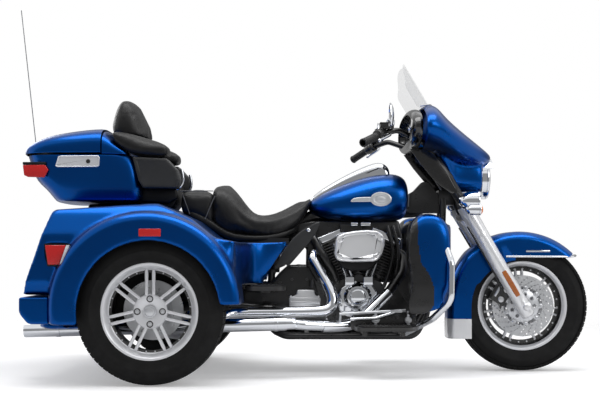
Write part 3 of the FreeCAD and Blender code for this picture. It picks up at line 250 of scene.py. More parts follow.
GREY_PLASTIC = Finish("charcoal_moulding", "grey_plastic", (34, 35, 37), (28, 29, 31), (0.42, 0.55), Grain.MOULDED,
                      0.0012, 0.0002)
GRIP_RUBBER = Finish("grip_compound", "grip_rubber", (10, 10, 11), (16, 16, 17), (0.55, 0.7), Grain.MOULDED,
                     0.001, 0.0002)
RED_LENS = Finish("red_lens", "red_lens", (88, 0, 2), (70, 0, 1), (0.08, 0.14), Grain.RIBBED, 0.006, 0.0004,
                  coat=0.6, glow=0.06)
AMBER_LENS = Finish("amber_lens", "red_lens", (230, 130, 20), (210, 105, 12), (0.1, 0.16), Grain.RIBBED,
                    0.006, 0.0004, coat=1.0, glow=0.1)
AMBER_REFLECTOR = Finish("amber_reflector", "red_lens", (176, 98, 30), (150, 76, 20), (0.2, 0.3), Grain.RIBBED,
                         0.004, 0.0004, coat=0.6)
WHITE_LENS = Finish("frosted_lens", "chrome", (236, 238, 240), (222, 226, 230), (0.06, 0.12), Grain.RIBBED,
                    0.008, 0.0006, coat=1.0)
CLEAR_LENS = Finish("clear_lamp_glass", "screen", (248, 250, 252), (240, 244, 248), (0.0, 0.02), Grain.PLATED,
                    0.05, 0.00001, transmission=1.0)
SCREEN = Finish("smoked_screen", "screen", (150, 154, 158), (140, 144, 148), (0.01, 0.03), Grain.PLATED,
                0.05, 0.00001, alpha=0.13, ior=1.3)
DIAL = Finish("dial_face", "black_plastic", (14, 15, 17), (20, 21, 23), (0.3, 0.4), Grain.PLATED, coat=1.0)
DASH_BLACK = Finish("black_dash_gloss", "black_plastic", (6, 6, 7), (10, 10, 11), (0.16, 0.24), Grain.MOULDED,
                    0.0015, 0.00004, coat=0.6)
MIRROR = Finish("mirror_glass", "chrome", (236, 238, 240), (230, 232, 235), (0.01, 0.02), Grain.PLATED,
                0.05, 0.000005, metallic=1.0)
PIPING = Finish("seat_piping", "seat_cover", (92, 93, 96), (78, 79, 82), (0.4, 0.5), Grain.LEATHER, 0.002, 0.0001)

CAD_FINISHES = (
    (PAINT, "leg_shields fuel_tank rear_body rear_bumper top_case front_fairing front_fender trunk_door top_case_lid"),
    (CHROME, "rocker_covers engine_covers air_cleaner exhaust engine_guard foot_controls tank_console fork_sliders "
             "mirrors headlamp lamp_bar"),
    (BLACK_ENAMEL, "rear_axle frame crankcase cylinders footboards fork_tubes handlebar hand_controls front_calipers"),
    (LEATHER, "rider_seat passenger_seat backrest"), (GREY_PLASTIC, "side_covers case_base"),
    (BLACK_PLASTIC, "belt_drive inner_fairing"), (RED_LENS, "rear_lamps"), (WHIP_GREY, "aerial"),
    (GRIP_RUBBER, "grips"), (SCREEN, "windscreen"), (RUBBER, "front_tyre rear_tyre_left rear_tyre_right"),
    (WHEEL_SILVER, "front_rim rear_rim_left rear_rim_right"), (BRAKE_STEEL, "front_discs"))


def finish_nodes() -> None:
    """Gives every CAD node its finish."""
    for finish, names in CAD_FINISHES:
        for name in names.split():
            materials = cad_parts[name].data.materials
            materials.clear()
            materials.append(finish.build())


# ---- modelling


def away() -> None:
    """Leaves edit mode and deselects everything."""
    if bpy.context.object and bpy.context.object.mode != "OBJECT":
        bpy.ops.object.mode_set(mode="OBJECT")
    bpy.ops.object.select_all(action="DESELECT")


@dataclass(frozen=True)
class Section:
    """A rounded cross-section: its station along the form, and its extent in the two other axes."""

    at: float
    low: float
    high: float
    half: float
    waist: float = 0.5
    top: float = 2.6
    foot: float = 2.6

    def ring(self, count: int) -> list[tuple[float, float]]:
        """Points round the section.

        Args:
            count: How many points.

        Returns:
            Pairs (across, up), from the top round towards positive across.
        """
        middle = self.low + (self.high - self.low) * self.waist
        points = []
        for step in range(count):
            angle = 2 * math.pi * step / count
            side, up = math.sin(angle), math.cos(angle)
            power = 2 / (self.top if up > 0 else self.foot)
            reach = self.high - middle if up > 0 else middle - self.low
            points.append((self.half * math.copysign(abs(side) ** power, side),
                           middle + reach * math.copysign(abs(up) ** power, up)))
        return points


Form = tuple[Section, ...]


def sections(*rows: tuple[float, ...], shape: tuple[float, float, float] = (0.5, 4, 4)) -> Form:
    """Makes the sections of a form.

    Args:
        rows: Station, low, high and half width in millimetres, and waist, top and foot where they aren't the shape's.
        shape: The waist, top and foot that most rows share.

    Returns:
        The sections.
    """
    return tuple(Section(*mm(*row[:4]), *(row[4:] or shape)) for row in rows)


class Piece:
    """One mesh piece in the making, shaped step by step with Blender's own tools."""

    def __init__(self, name: str) -> None:
        """Takes the active object as the piece, under a new name.

        Args:
            name: The name.
        """
        self.body = bpy.context.object
        self.body.name = name
        self.body.data.name = name

    # starting forms

    @classmethod
    def block(cls, name: str, low: Point, high: Point, bevel: float = 0.0, segments: int = 3) -> "Piece":
        """Starts from a box between two corners, with rounded edges.

        Args:
            name: The piece's name.
            low: Its lowest corner.
            high: Its highest corner.
            bevel: How wide its edges are rounded.
            segments: Steps across each rounded edge.

        Returns:
            The piece.
        """
        away()
        start, end = Vector(low), Vector(high)
        bpy.ops.mesh.primitive_cube_add(size=1, location=(start + end) / 2, scale=end - start)
        piece = cls(name).placed()
        return piece.modifier("BEVEL", width=bevel, segments=segments) if bevel else piece

    @classmethod
    def rod(cls, name: str, start: Point, end: Point, radius: float, tip: float | None = None, count: int = 24,
            bevel: float = 0.0) -> "Piece":
        """Starts from a cylinder or a cone between two points.

        Args:
            name: The piece's name.
            start: Where it starts.
            end: Where it ends.
            radius: Its radius.
            tip: Its radius at the far end, where that differs.
            count: Points round it.
            bevel: How wide its edges are rounded.

        Returns:
            The piece.
        """
        away()
        first, last = Vector(start), Vector(end)
        along = last - first
        bpy.ops.mesh.primitive_cone_add(vertices=count, radius1=radius, radius2=radius if tip is None else tip,
                                        depth=along.length, location=(first + last) / 2,
                                        rotation=along.to_track_quat("Z", "Y").to_euler())
        piece = cls(name).placed()
        return piece.modifier("BEVEL", width=bevel, segments=2, limit_method="ANGLE",
                              angle_limit=0.9) if bevel else piece

    @classmethod
    def loft(cls, name: str, form: Form, axis: str = "X", count: int = 32, levels: int = 1) -> "Piece":
        """Draws a ring out through a row of sections along an axis, fills both ends and rounds the form.

        Args:
            name: The piece's name.
            form: The sections in order. Across is Y and up is Z along X, and across is Y and up is X along Z.
            axis: "X" or "Z".
            count: Points in each ring.
            levels: Rounds of subdivision.

        Returns:
            The piece.
        """
        away()
        bpy.ops.mesh.primitive_circle_add(vertices=count, fill_type="NOTHING")
        piece = cls(name)
        bpy.ops.object.mode_set(mode="EDIT")
        for number, section in enumerate(form):
            if number:
                bpy.ops.mesh.extrude_region_move()
            mesh = bmesh.from_edit_mesh(piece.body.data)
            order = piece.walk([vertex for vertex in mesh.verts if vertex.select or not number])
            for vertex, (across, up) in zip(order, section.ring(count)):
                vertex.co = (section.at, across, up) if axis == "X" else (up, across, section.at)
            bmesh.update_edit_mesh(piece.body.data)
        bpy.ops.mesh.select_all(action="DESELECT")
        bpy.ops.mesh.select_non_manifold()
        bpy.ops.mesh.edge_face_add()
        bpy.ops.object.mode_set(mode="OBJECT")
        return piece.outward().modifier("SUBSURF", levels=levels, render_levels=levels)

    @staticmethod
    def walk(chosen: Sequence[bmesh.types.BMVert]) -> list[bmesh.types.BMVert]:
        """Orders the vertices of one ring as they follow each other, from the one with the lowest index.

        Args:
            chosen: The ring's vertices.

        Returns:
            The vertices in order.
        """
        inside = set(chosen)
        order = [min(chosen, key=lambda vertex: vertex.index)]
        while len(order) < len(chosen):
            beside = [edge.other_vert(order[-1]) for edge in order[-1].link_edges]
            step = [vertex for vertex in beside if vertex in inside and vertex not in (order[0], *order[-2:])]
            order.append(min(step, key=lambda vertex: vertex.index))
        return order

    @classmethod
    def turned(cls, name: str, section: Sequence[tuple[float, float]], centre: Point = ORIGIN, steps: int = 64,
               axis: str = "Y") -> "Piece":
        """Spins a closed section about a line along an axis.

        Args:
            name: The piece's name.
            section: Pairs (radius, along the axis).
            centre: A point on the axis.
            steps: How many steps make the full turn.
            axis: "X", "Y" or "Z".

        Returns:
            The piece.
        """
        away()
        bpy.ops.mesh.primitive_circle_add(vertices=len(section), fill_type="NOTHING")
        piece = cls(name)
        middle = Vector(centre)
        for vertex, (radius, along) in zip(piece.body.data.vertices, section):
            place = {"X": (along, 0, radius), "Y": (radius, along, 0), "Z": (radius, 0, along)}[axis]
            vertex.co = middle + Vector(place)
        line = {"X": (1, 0, 0), "Y": (0, 1, 0), "Z": (0, 0, 1)}[axis]
        return piece.edit(
            lambda: bpy.ops.mesh.spin(steps=steps, angle=2 * math.pi, center=middle, axis=line),
            lambda: bpy.ops.mesh.select_all(action="SELECT"),
            lambda: bpy.ops.mesh.remove_doubles(threshold=WELD_GAP)).outward()

    @classmethod
    def pipe(cls, name: str, path: Sequence[Point], radius: float, count: int = 4) -> "Piece":
        """Draws a round bar along a curve through a row of points, with filled ends.

        Args:
            name: The piece's name.
            path: The points it runs through.
            radius: Its radius.
            count: Steps across a quarter of its girth.

        Returns:
            The piece.
        """
        away()
        bpy.ops.curve.primitive_nurbs_path_add()
        curve = bpy.context.object.data
        curve.splines.clear()
        spline = curve.splines.new("NURBS")
        spline.points.add(len(path) - 1)
        for point, place in zip(spline.points, path):
            point.co = (*place, 1)
        spline.order_u = 3
        spline.use_endpoint_u = True
        curve.resolution_u = 8
        curve.bevel_depth = radius
        curve.bevel_resolution = count
        curve.use_fill_caps = True
        bpy.ops.object.convert(target="MESH")
        return cls(name).placed().weld().outward()

    @classmethod
    def plate(cls, name: str, outline: Outline, low: float, high: float, bevel: float, segments: int = 3,
              plane: str = "XZ") -> "Piece":
        """Draws a flat outline out between two levels and rounds its rims.

        Args:
            name: The piece's name.
            outline: Points (x, z) or (x, y), as the plane says.
            low: The lower level across the plane.
            high: The upper level.
            bevel: Width of the rounding.
            segments: Steps in the rounding.
            plane: "XZ" or "XY".

        Returns:
            The piece.
        """
        away()
        bpy.ops.mesh.primitive_circle_add(vertices=len(outline), fill_type="NGON")
        piece = cls(name)
        upright = plane == "XZ"
        for vertex, (u, v) in zip(piece.body.data.vertices, outline):
            vertex.co = (u, low, v) if upright else (u, v, low)
        shift = (0, high - low, 0) if upright else (0, 0, high - low)
        piece.edit(lambda: bpy.ops.mesh.extrude_region_move(TRANSFORM_OT_translate={"value": shift})).outward()
        return piece.modifier("BEVEL", width=bevel, segments=segments, limit_method="ANGLE", angle_limit=0.4)

    @classmethod
    def copy_of(cls, name: str, node: str) -> "Piece":
        """Starts from a merged copy of a CAD node.

        Args:
            name: The piece's name.
            node: The CAD node.

        Returns:
            The piece.
        """
        away()
        twin = bpy.data.objects.new(name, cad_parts[node].data.copy())
        bpy.context.scene.collection.objects.link(twin)
        twin.data.materials.clear()
        bpy.context.view_layer.objects.active = twin
        return cls(name).weld()

    # edits

    def use(self) -> "Piece":
        """Makes the piece the only selected, active object.

        Returns:
            The piece.
        """
        away()
        self.body.select_set(True)
        bpy.context.view_layer.objects.active = self.body
        return self

    def placed(self) -> "Piece":
        """Moves the object's place, turn and scale into its mesh."""
        bpy.ops.object.transform_apply(location=True, rotation=True, scale=True)
        return self

    def edit(self, *steps: Callable[[], Any]) -> "Piece":
        """Runs operators in edit mode on everything selected.

        Args:
            steps: The operators, in order.

        Returns:
            The piece.
        """
        self.use()
        bpy.ops.object.mode_set(mode="EDIT")
        bpy.ops.mesh.select_all(action="SELECT")
        for step in steps:
            step()
        bpy.ops.object.mode_set(mode="OBJECT")
        return self

    def weld(self) -> "Piece":
        """Merges vertices that lie together."""
        return self.edit(lambda: bpy.ops.mesh.remove_doubles(threshold=WELD_GAP))

    def outward(self) -> "Piece":
        """Turns every face outwards."""
        return self.edit(lambda: bpy.ops.mesh.normals_make_consistent(inside=False))

    def faces(self, test: Test, *steps: Callable[[], Any]) -> "Piece":
        """Selects faces by their middle and normal, then runs operators on them.

        Args:
            test: Takes a face's middle and normal.
            steps: The operators.

        Returns:
            The piece.
        """
        self.use()
        bpy.ops.object.mode_set(mode="EDIT")
        bpy.ops.mesh.select_mode(type="FACE")
        bpy.ops.mesh.select_all(action="DESELECT")
        for face in bmesh.from_edit_mesh(self.body.data).faces:
            if test(face.calc_center_median(), face.normal):
                face.select_set(True)
        bmesh.update_edit_mesh(self.body.data)
        for step in steps:
            step()
        bpy.ops.mesh.select_mode(type="VERT")
        bpy.ops.object.mode_set(mode="OBJECT")
        return self

    def extrude(self, test: Test, shift: Point) -> "Piece":
        """Draws the faces that pass a test out by a shift."""
        return self.faces(test, lambda: bpy.ops.mesh.extrude_region_move(TRANSFORM_OT_translate={"value": shift}))

    def inset(self, test: Test, width: float, depth: float = 0.0, single: bool = False) -> "Piece":
        """Insets the faces that pass a test, together or singly, and sinks or raises them."""
        return self.faces(test, lambda: bpy.ops.mesh.inset(thickness=width, depth=depth, use_individual=single))

    def drop(self, test: Test) -> "Piece":
        """Deletes the faces that pass a test."""
        return self.faces(test, lambda: bpy.ops.mesh.delete(type="FACE"))

    def cut(self, place: Point, normal: Point, fill: bool = True) -> "Piece":
        """Cuts along a plane and keeps the side that the normal points away from."""
        return self.edit(lambda: bpy.ops.mesh.bisect(plane_co=place, plane_no=normal, use_fill=fill,
                                                     clear_outer=True))

    def modifier(self, kind: str, **settings: Any) -> "Piece":
        """Adds a modifier and applies it at once.

        Args:
            kind: The modifier's type.
            settings: Its settings.

        Returns:
            The piece.
        """
        self.use()
        made = self.body.modifiers.new(kind.lower(), kind)
        for key, value in settings.items():
            setattr(made, key, value)
        bpy.ops.object.modifier_apply(modifier=made.name)
        return self

    def remesh(self, voxel: float, rounds: int = 0) -> "Piece":
        """Joins everything into one even skin and smooths it."""
        self.modifier("REMESH", mode="VOXEL", voxel_size=voxel)
        return self.modifier("SMOOTH", factor=0.5, iterations=rounds) if rounds else self

    def repeat(self, count: int, step: Point) -> "Piece":
        """Repeats the piece in a straight row."""
        return self.modifier("ARRAY", count=count, use_relative_offset=False, use_constant_offset=True,
                             constant_offset_displace=step)

    def thick(self, wall: float) -> "Piece":
        """Gives an open skin a wall on its inner side."""
        return self.modifier("SOLIDIFY", thickness=wall, offset=-1.0)

    def less(self, *tools: "Piece") -> "Piece":
        """Cuts other pieces away and removes them.

        Args:
            tools: The pieces to cut away.

        Returns:
            The piece.
        """
        for tool in tools:
            self.modifier("BOOLEAN", operation="DIFFERENCE", object=tool.body, solver="EXACT")
            bpy.data.objects.remove(tool.body)
        return self

    def warp(self, matrix: Matrix) -> "Piece":
        """Moves the mesh by a matrix."""
        self.body.data.transform(matrix)
        return self

    def move(self, shift: Point) -> "Piece":
        """Shifts the piece."""
        return self.warp(Matrix.Translation(shift))

    def along(self, start: Point, end: Point) -> "Piece":
        """Lays a piece that was drawn up from the origin on a line from one point towards another."""
        turn = (Vector(end) - Vector(start)).to_track_quat("Z", "Y").to_matrix().to_4x4()
        return self.warp(Matrix.Translation(start) @ turn)

    def turn(self, degrees: float, axis: str, centre: Point = ORIGIN) -> "Piece":
        """Turns the piece about a line through a point."""
        middle = Matrix.Translation(centre)
        return self.warp(middle @ Matrix.Rotation(math.radians(degrees), 4, axis) @ middle.inverted())

    def twin(self, name: str | None = None) -> "Piece":
        """A copy with its own mesh.

        Args:
            name: The copy's name, where it needs one.

        Returns:
            The piece.
        """
        self.use()
        bpy.ops.object.duplicate(linked=False)
        return Piece(name or self.body.name + "_twin")

    def flipped(self) -> "Piece":
        """Mirrors the piece in the middle plane."""
        return self.warp(Matrix.Scale(-1, 4, (0, 1, 0))).outward()

    def both(self) -> "Piece":
        """Adds the piece's mirror image on the other side."""
        return self.join(self.twin().flipped())

    def facing(self, station: float) -> "Piece":
        """Adds the piece's mirror image in the upright plane across one station."""
        mirror = Matrix.Translation((2 * station, 0, 0)) @ Matrix.Scale(-1, 4, (1, 0, 0))
        return self.join(self.twin().warp(mirror).outward())

    def round_about(self, count: int, axis: str, centre: Point) -> "Piece":
        """Repeats the piece evenly round a line through a point."""
        return self.join(*(self.twin().turn(360 * step / count, axis, centre) for step in range(1, count)))

    def join(self, *others: "Piece") -> "Piece":
        """Takes other pieces into this one.

        Args:
            others: The other pieces.

        Returns:
            The piece.
        """
        self.use()
        for other in others:
            other.body.select_set(True)
        if others:
            bpy.ops.object.join()
        return self

    def done(self, finish: Finish, rider: str, *nodes: str, degrees: float = 35) -> "Piece":
        """Dresses the piece, sets what it rides on and what it stands for, and logs it.

        Args:
            finish: Its finish.
            rider: The CAD body it moves with.
            nodes: The CAD nodes that it replaces.
            degrees: Edges sharper than this stay sharp.

        Returns:
            The piece.
        """
        self.use()
        bpy.ops.object.shade_smooth_by_angle(angle=math.radians(degrees))
        self.body.data.materials.clear()
        self.body.data.materials.append(finish.build())
        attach(self.body, rider)
        if nodes:
            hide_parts(*nodes)
        log.info("%s: %d faces", self.body.name, len(self.body.data.polygons))
        return self

    def second(self, finish: Finish, test: Test) -> "Piece":
        """Gives the faces that pass a test a finish of their own.

        Args:
            finish: The finish.
            test: Which faces take it.

        Returns:
            The piece.
        """
        self.body.data.materials.append(finish.build())
        for face in self.body.data.polygons:
            if test(face.center, face.normal):
                face.material_index = 1
        return self


# ---- studio


@dataclass
class Studio:
    """The camera, the white background, the floor and the lamps."""

    eye: Point = (0.008, -5.1, 0.574)
    lens: float = 63.75
    rise: float = 0.084
    shade_light: float = 0.45
    floor_half: float = 6.0
    floor_lift: float = 0.3
    fade: tuple[float, float] = (2.0, 4.6)
    card_distance: float = 7.5
    card_middle: float = 1.9
    card_size: tuple[float, float] = (44.0, 7.0)
    card_glow: float = 0.32

    def camera(self) -> None:
        """Adds a level camera that looks at the right side."""
        bpy.ops.object.camera_add(location=self.eye, rotation=(math.pi / 2, 0, 0))
        camera = bpy.context.object
        camera.data.lens = self.lens
        camera.data.shift_y = self.rise
        bpy.context.scene.camera = camera

    def world(self) -> None:
        """A white background for the eye, gloss and glass, over a softer light on everything else."""
        world = bpy.data.worlds.new("studio")
        bpy.context.scene.world = world
        world.use_nodes = True
        nodes, link = world.node_tree.nodes, world.node_tree.links.new
        back = nodes["Background"].inputs
        back["Color"].default_value = WHITE
        rays = nodes.new("ShaderNodeLightPath").outputs
        seen = rays["Is Camera Ray"]
        for other in ("Is Glossy Ray", "Is Transmission Ray"):
            either = nodes.new("ShaderNodeMath")
            either.operation = "MAXIMUM"
            link(seen, either.inputs[0])
            link(rays[other], either.inputs[1])
            seen = either.outputs[0]
        strength = nodes.new("ShaderNodeMapRange")
        strength.inputs["To Min"].default_value = self.shade_light
        link(seen, strength.inputs["Value"])
        link(strength.outputs["Result"], back["Strength"])

    def floor(self) -> None:
        """Adds a pale floor that keeps the shadow."""
        bpy.ops.mesh.primitive_plane_add(size=2 * self.floor_half, location=(0, 0, -0.0005))
        plane = bpy.context.object
        plane.name = "studio_floor"
        nodes = Nodes("pale_floor")
        seen = nodes.add("LightPath").outputs["Is Camera Ray"]
        nodes.feed(nodes.shader, {
            "Base Color": (0.86, 0.86, 0.87, 1), "Roughness": 0.9, "Emission Color": WHITE,
            "Emission Strength": nodes.spread(seen, 0, 1, 0, self.floor_lift)})
        reach = nodes.add("VectorMath", {0: nodes.add("TexCoord").outputs["Object"]}, operation="LENGTH")
        fade = nodes.add("MapRange", {"Value": reach.outputs["Value"], "From Min": self.fade[0],
                                      "From Max": self.fade[1]}, interpolation_type="SMOOTHSTEP")
        blend = nodes.add("MixShader", {0: fade.outputs["Result"], 1: nodes.shader.outputs["BSDF"],
                                        2: nodes.add("BsdfTransparent").outputs["BSDF"]})
        nodes.feed(nodes.output, {"Surface": blend.outputs["Shader"]})
        plane.data.materials.append(nodes.material)

    def lamp(self, name: str, place: Point, aim: Point, size: tuple[float, float], power: float) -> None:
        """Adds a soft rectangular lamp.

        Args:
            name: Its name.
            place: Where it hangs.
            aim: The point it faces.
            size: Width and height.
            power: Watts.
        """
        bpy.ops.object.light_add(type="AREA", location=place)
        lamp = bpy.context.object
        lamp.name = name
        lamp.data.shape = "RECTANGLE"
        lamp.data.size, lamp.data.size_y = size
        lamp.data.energy = power
        lamp.rotation_euler = (Vector(aim) - Vector(place)).to_track_quat("-Z", "Y").to_euler()
        lamp.visible_camera = False

    def card(self, name: str, side: int) -> None:
        """Adds a dark card beside the object, which only its reflections show.

        Args:
            name: The piece's name.
            side: Which side it is for.
        """
        bpy.ops.mesh.primitive_plane_add(size=1, location=(0, side * self.card_distance, self.card_middle),
                                         rotation=(math.pi / 2, 0, 0))
        card = bpy.context.object
        card.name = name
        card.scale = (*self.card_size, 1)
        nodes = Nodes(name)
        nodes.feed(nodes.shader, {"Base Color": (0, 0, 0, 1), "Specular IOR Level": 0.0, "Emission Color": WHITE,
                                  "Emission Strength": self.card_glow})
        card.data.materials.append(nodes.material)
        card.visible_camera = card.visible_shadow = card.visible_diffuse = False

    def build(self) -> None:
        """Sets up the whole studio."""
        bpy.context.scene.view_settings.view_transform = "Standard"
        self.camera()
        self.world()
        self.floor()
        self.lamp("overhead", (0.2, -0.6, 4.2), (0.1, 0, 0.6), (5.0, 2.2), 140)
        self.lamp("front_fill", (3.6, -3.4, 2.6), (0.4, 0, 0.7), (2.2, 2.2), 48)
        self.lamp("rear_fill", (-3.6, 3.6, 2.6), (-0.4, 0, 0.7), (2.2, 2.2), 48)
        for word, side in SIDES:
            self.card(f"card_{word}", side)


# ---- wheels


@dataclass
class Wheel:
    """A treaded tyre on a cast rim with seven pairs of spokes, drawn with its outer side to the left."""

    name: str
    centre: Point
    radius: float
    half: float
    flange: float
    rim_half: float
    face: float
    lip: float
    hub: float
    start: float
    ribs: Outline
    pairs: int = 7
    pitch: int = 72
    spoke_gap: float = 0.015
    spoke_half: float = 0.0078
    block_height: float = 0.0055
    block_edge: float = 0.0022
    stud_count: int = 28
    two_faced: bool = False

    def tyre(self) -> Piece:
        """Spins the tyre's section and raises the tread blocks.

        Returns:
            The tyre.
        """
        half, flange, rim = self.half, self.flange, self.rim_half
        base = self.radius - self.block_height
        edges = sorted({edge for rib in self.ribs for edge in rib})
        crown = [(base - (edge / half) ** 2 * 0.008, edge) for edge in edges]
        outer = crown + [
            (base - 0.014, half - 0.012), (base - 0.03, half - 0.003), (base - 0.05, half),
            (flange + 0.055, half - 0.0005), (flange + 0.052, half + 0.0008), (flange + 0.046, half + 0.0008),
            (flange + 0.043, half - 0.001), (flange + 0.02, half - 0.004), (flange + 0.008, rim + 0.004),
            (flange, rim + 0.0005), (flange, rim - 0.0075), (flange - 0.01, rim - 0.0085)]
        section = outer + [(radius, -across) for radius, across in reversed(outer)]
        tyre = Piece.turned(f"{self.name}_tyre_tread", section, self.centre, self.pitch)
        middle = Vector(self.centre)

        def is_block(place: Vector, normal: Vector) -> bool:
            """Whether a face belongs to a block of the tread.

            Args:
                place: The middle of the face.
                normal: The face's normal; not used.

            Returns:
                Whether it does.
            """
            across = abs(place.y - middle.y)
            outside = math.hypot(place.x - middle.x, place.z - middle.z) > base - 0.012
            return outside and any(low < across < high for low, high in self.ribs)

        return tyre.inset(is_block, self.block_edge, self.block_height, single=True)

    def rim(self) -> Piece:
        """Casts the barrel, the hub and the spokes as one piece.

        Returns:
            The casting.
        """
        flange, rim, lip, hub, face = self.flange, self.rim_half, self.lip, self.hub, self.face
        seat = flange - 0.01
        shown = [(flange, rim), (flange - 0.003, rim + 0.0012), (flange - 0.008, rim), (lip + 0.012, rim - 0.006),
                 (lip + 0.003, rim - 0.016), (lip, rim - 0.024)]
        back = [(lip - 0.006, face - 0.014), (lip - 0.016, face - 0.018), (lip - 0.016, face - 0.024),
                (lip - 0.004, face - 0.027), (lip - 0.003, 0.01 - rim), (flange - 0.012, -rim), (flange, -rim)]
        if self.two_faced:
            back = [(radius, -across) for radius, across in reversed(shown)]
        outside = [(flange, 0.008 - rim), (seat, 0.009 - rim), (seat, rim - 0.009), (flange, rim - 0.008)]
        barrel = Piece.turned(f"{self.name}_rim_casting", shown + back + outside, self.centre, 96)
        boss = Piece.turned("hub", (
            (0.012, face - 0.004), (hub * 0.5, face - 0.003), (hub * 0.56, face), (hub * 0.93, face),
            (hub, face - 0.006), (hub * 0.97, face - 0.03), (hub * 0.72, face - 0.05), (hub * 0.72, -face * 0.9),
            (0.022, -face * 0.9), (0.022, face - 0.03)), self.centre, 72)
        spoke = Piece.loft("spoke", tuple(
            Section(at, face - low, face - high, self.spoke_half * share, top=5, foot=4)
            for at, low, high, share in ((hub * 0.8, 0.026, 0.001, 1), (hub * 1.1, 0.024, 0.002, 0.92),
                                         (lip * 0.75, 0.022, 0.003, 0.9), (lip + 0.002, 0.022, 0.001, 1.1))), count=12)
        spoke.turn(-90, "X").move((0, 0, self.spoke_gap))
        spoke.join(spoke.twin().move((0, 0, -2 * self.spoke_gap)))
        spoke.turn(self.start, "Y").move(self.centre).round_about(self.pairs, "Y", self.centre)
        return barrel.join(boss, spoke)

    def well(self, depth: float, width: float = 0.014) -> Piece:
        """Makes the black drop centre that shows between the lip and the spokes.

        Args:
            depth: How far behind the spokes' face it sits.
            width: How far it reaches inwards from the lip.

        Returns:
            The ring, with its row of pockets.
        """
        x, y, z = self.centre
        low, high, level = self.lip - width, self.lip + 0.004, self.face - depth
        ring = Piece.turned(f"{self.name}_drop_centre", (
            (low, level), (low + 0.002, level + 0.003), (high, level + 0.004), (high, level - 0.006),
            (low, level - 0.006)), self.centre, 96)
        rib = Piece.block("rib", (x + low, y + level, z - 0.002), (x + high, y + level + 0.008, z + 0.002))
        return ring.join(rib.round_about(self.stud_count * 2, "Y", self.centre))

    def is_dark(self, place: Vector, normal: Vector) -> bool:
        """Whether a face of the casting lies in the dark well behind the lip.

        Args:
            place: The middle of the face.
            normal: The face's normal.

        Returns:
            Whether it does.
        """
        out = Vector((place.x - self.centre[0], 0, place.z - self.centre[2]))
        along = abs(place.y) - abs(self.centre[1])
        if not self.two_faced:
            return self.lip * 0.6 < out.length < self.lip + 0.0035 and along < self.face - 0.015
        sloped = out.length < self.lip + 0.006 and along > self.face + 0.006
        inner = normal.dot(out) < 0 and self.lip - 0.004 < out.length < self.lip + 0.004
        return out.length > self.hub * 3 and (sloped or inner)

    def studs(self) -> Piece:
        """Makes the ring of small studs behind the lip.

        Returns:
            The bright pieces.
        """
        x, y, z = self.centre
        across = x + self.lip - 0.011
        stud = Piece.rod("stud", (across, y + self.face - 0.02, z), (across, y + self.face - 0.011, z), 0.0042,
                         0.0028, 8)
        return stud.turn(self.start + 6, "Y", self.centre).round_about(self.stud_count, "Y", self.centre)

    def lugs(self, count: int, pitch_radius: float, cap: float) -> Piece:
        """Makes the wheel nuts in their sockets' rings, and the domed centre cap.

        Args:
            count: How many nuts.
            pitch_radius: How far they are from the axle.
            cap: The cap's radius.

        Returns:
            The bright pieces.
        """
        x, y, z = self.centre
        face = y + self.face
        ring = Piece.turned("socket_ring", mm((9.5, 0), (10.5, 2.8), (13.5, 2.8), (15, 0)),
                            (x + pitch_radius, face - 0.0005, z), 24)
        nut = Piece.rod("nut", (x + pitch_radius, face - 0.004, z), (x + pitch_radius, face + 0.006, z), 0.0085,
                        0.0062, 6, bevel=0.0008)
        ring.join(nut).round_about(count, "Y", self.centre)
        dome = Piece.turned("cap", ((0.0, 0.0075), (cap * 0.5, 0.0068), (cap * 0.72, 0.0045), (cap * 0.75, 0.003),
                                    (cap * 0.8, 0.003), (cap * 0.84, 0.0055), (cap * 0.97, 0.0045), (cap, 0.0),
                                    ORIGIN[:2]), (x, face - 0.001, z), 48)
        return ring.join(dome)


@dataclass
class RearWheels:
    """The two rear wheels with their nuts and brake discs."""

    axle: Point = (-0.625, 0.542, 0.316)
    disc_radius: float = 0.13
    disc_inside: float = -0.036
    nut_reach: float = 0.0535
    socket: tuple[float, float] = (0.0088, 0.0155)

    def is_socket(self, place: Vector, normal: Vector) -> bool:
        """Whether a face belongs to the dark ring round a nut.

        Args:
            place: The middle of the face.
            normal: The face's normal.

        Returns:
            Whether it does.
        """
        x, y, z = self.axle
        if normal.y * place.y < 0 or abs(place.y) < y:
            return False
        across, up = abs(place.x - x), abs(place.z - z)
        return any(self.socket[0] < math.hypot(across - middle, up - self.nut_reach + middle) < self.socket[1]
                   for middle in (0.0, self.nut_reach))

    def build(self) -> None:
        """Makes the left wheel, then its mirror image."""
        wheel = Wheel("rear", self.axle, 0.316, 0.1025, 0.206, 0.096, 0.079, 0.181, 0.074, -90,
                      mm((0, 13), (19, 48), (54, 86)))
        x, y, z = self.axle
        edge = self.disc_radius
        nuts = wheel.lugs(4, self.nut_reach, 0.027).join(wheel.studs())
        disc = Piece.turned("rear_disc", (
            (0.052, 0.0), (0.08, 0.0), (0.082, 0.004), (edge - 0.001, 0.004), (edge, 0.003), (edge, -0.003),
            (0.082, -0.004), (0.08, -0.001), (0.052, -0.001)), (x, y + self.disc_inside, z), 72)
        for piece, finish, node in ((wheel.tyre(), RUBBER, "rear_tyre"), (wheel.rim(), WHEEL_SILVER, "rear_rim"),
                                    (nuts, SATIN, ""), (disc, BRAKE_STEEL, ""), (wheel.well(0.03), BLACK_ENAMEL, "")):
            name = piece.body.name
            for (word, _), made in zip(SIDES, (piece, piece.twin().flipped())):
                made.body.name = f"{name}_{word}"
                stands_for = [f"{node}_{word}"] if node else []
                made.done(finish, f"rear_wheel_{word}", *stands_for, degrees=40)
                if finish is WHEEL_SILVER:
                    made.second(BLACK_ENAMEL, wheel.is_dark)
                if finish is SATIN:
                    made.second(BLACK_ENAMEL, self.is_socket)


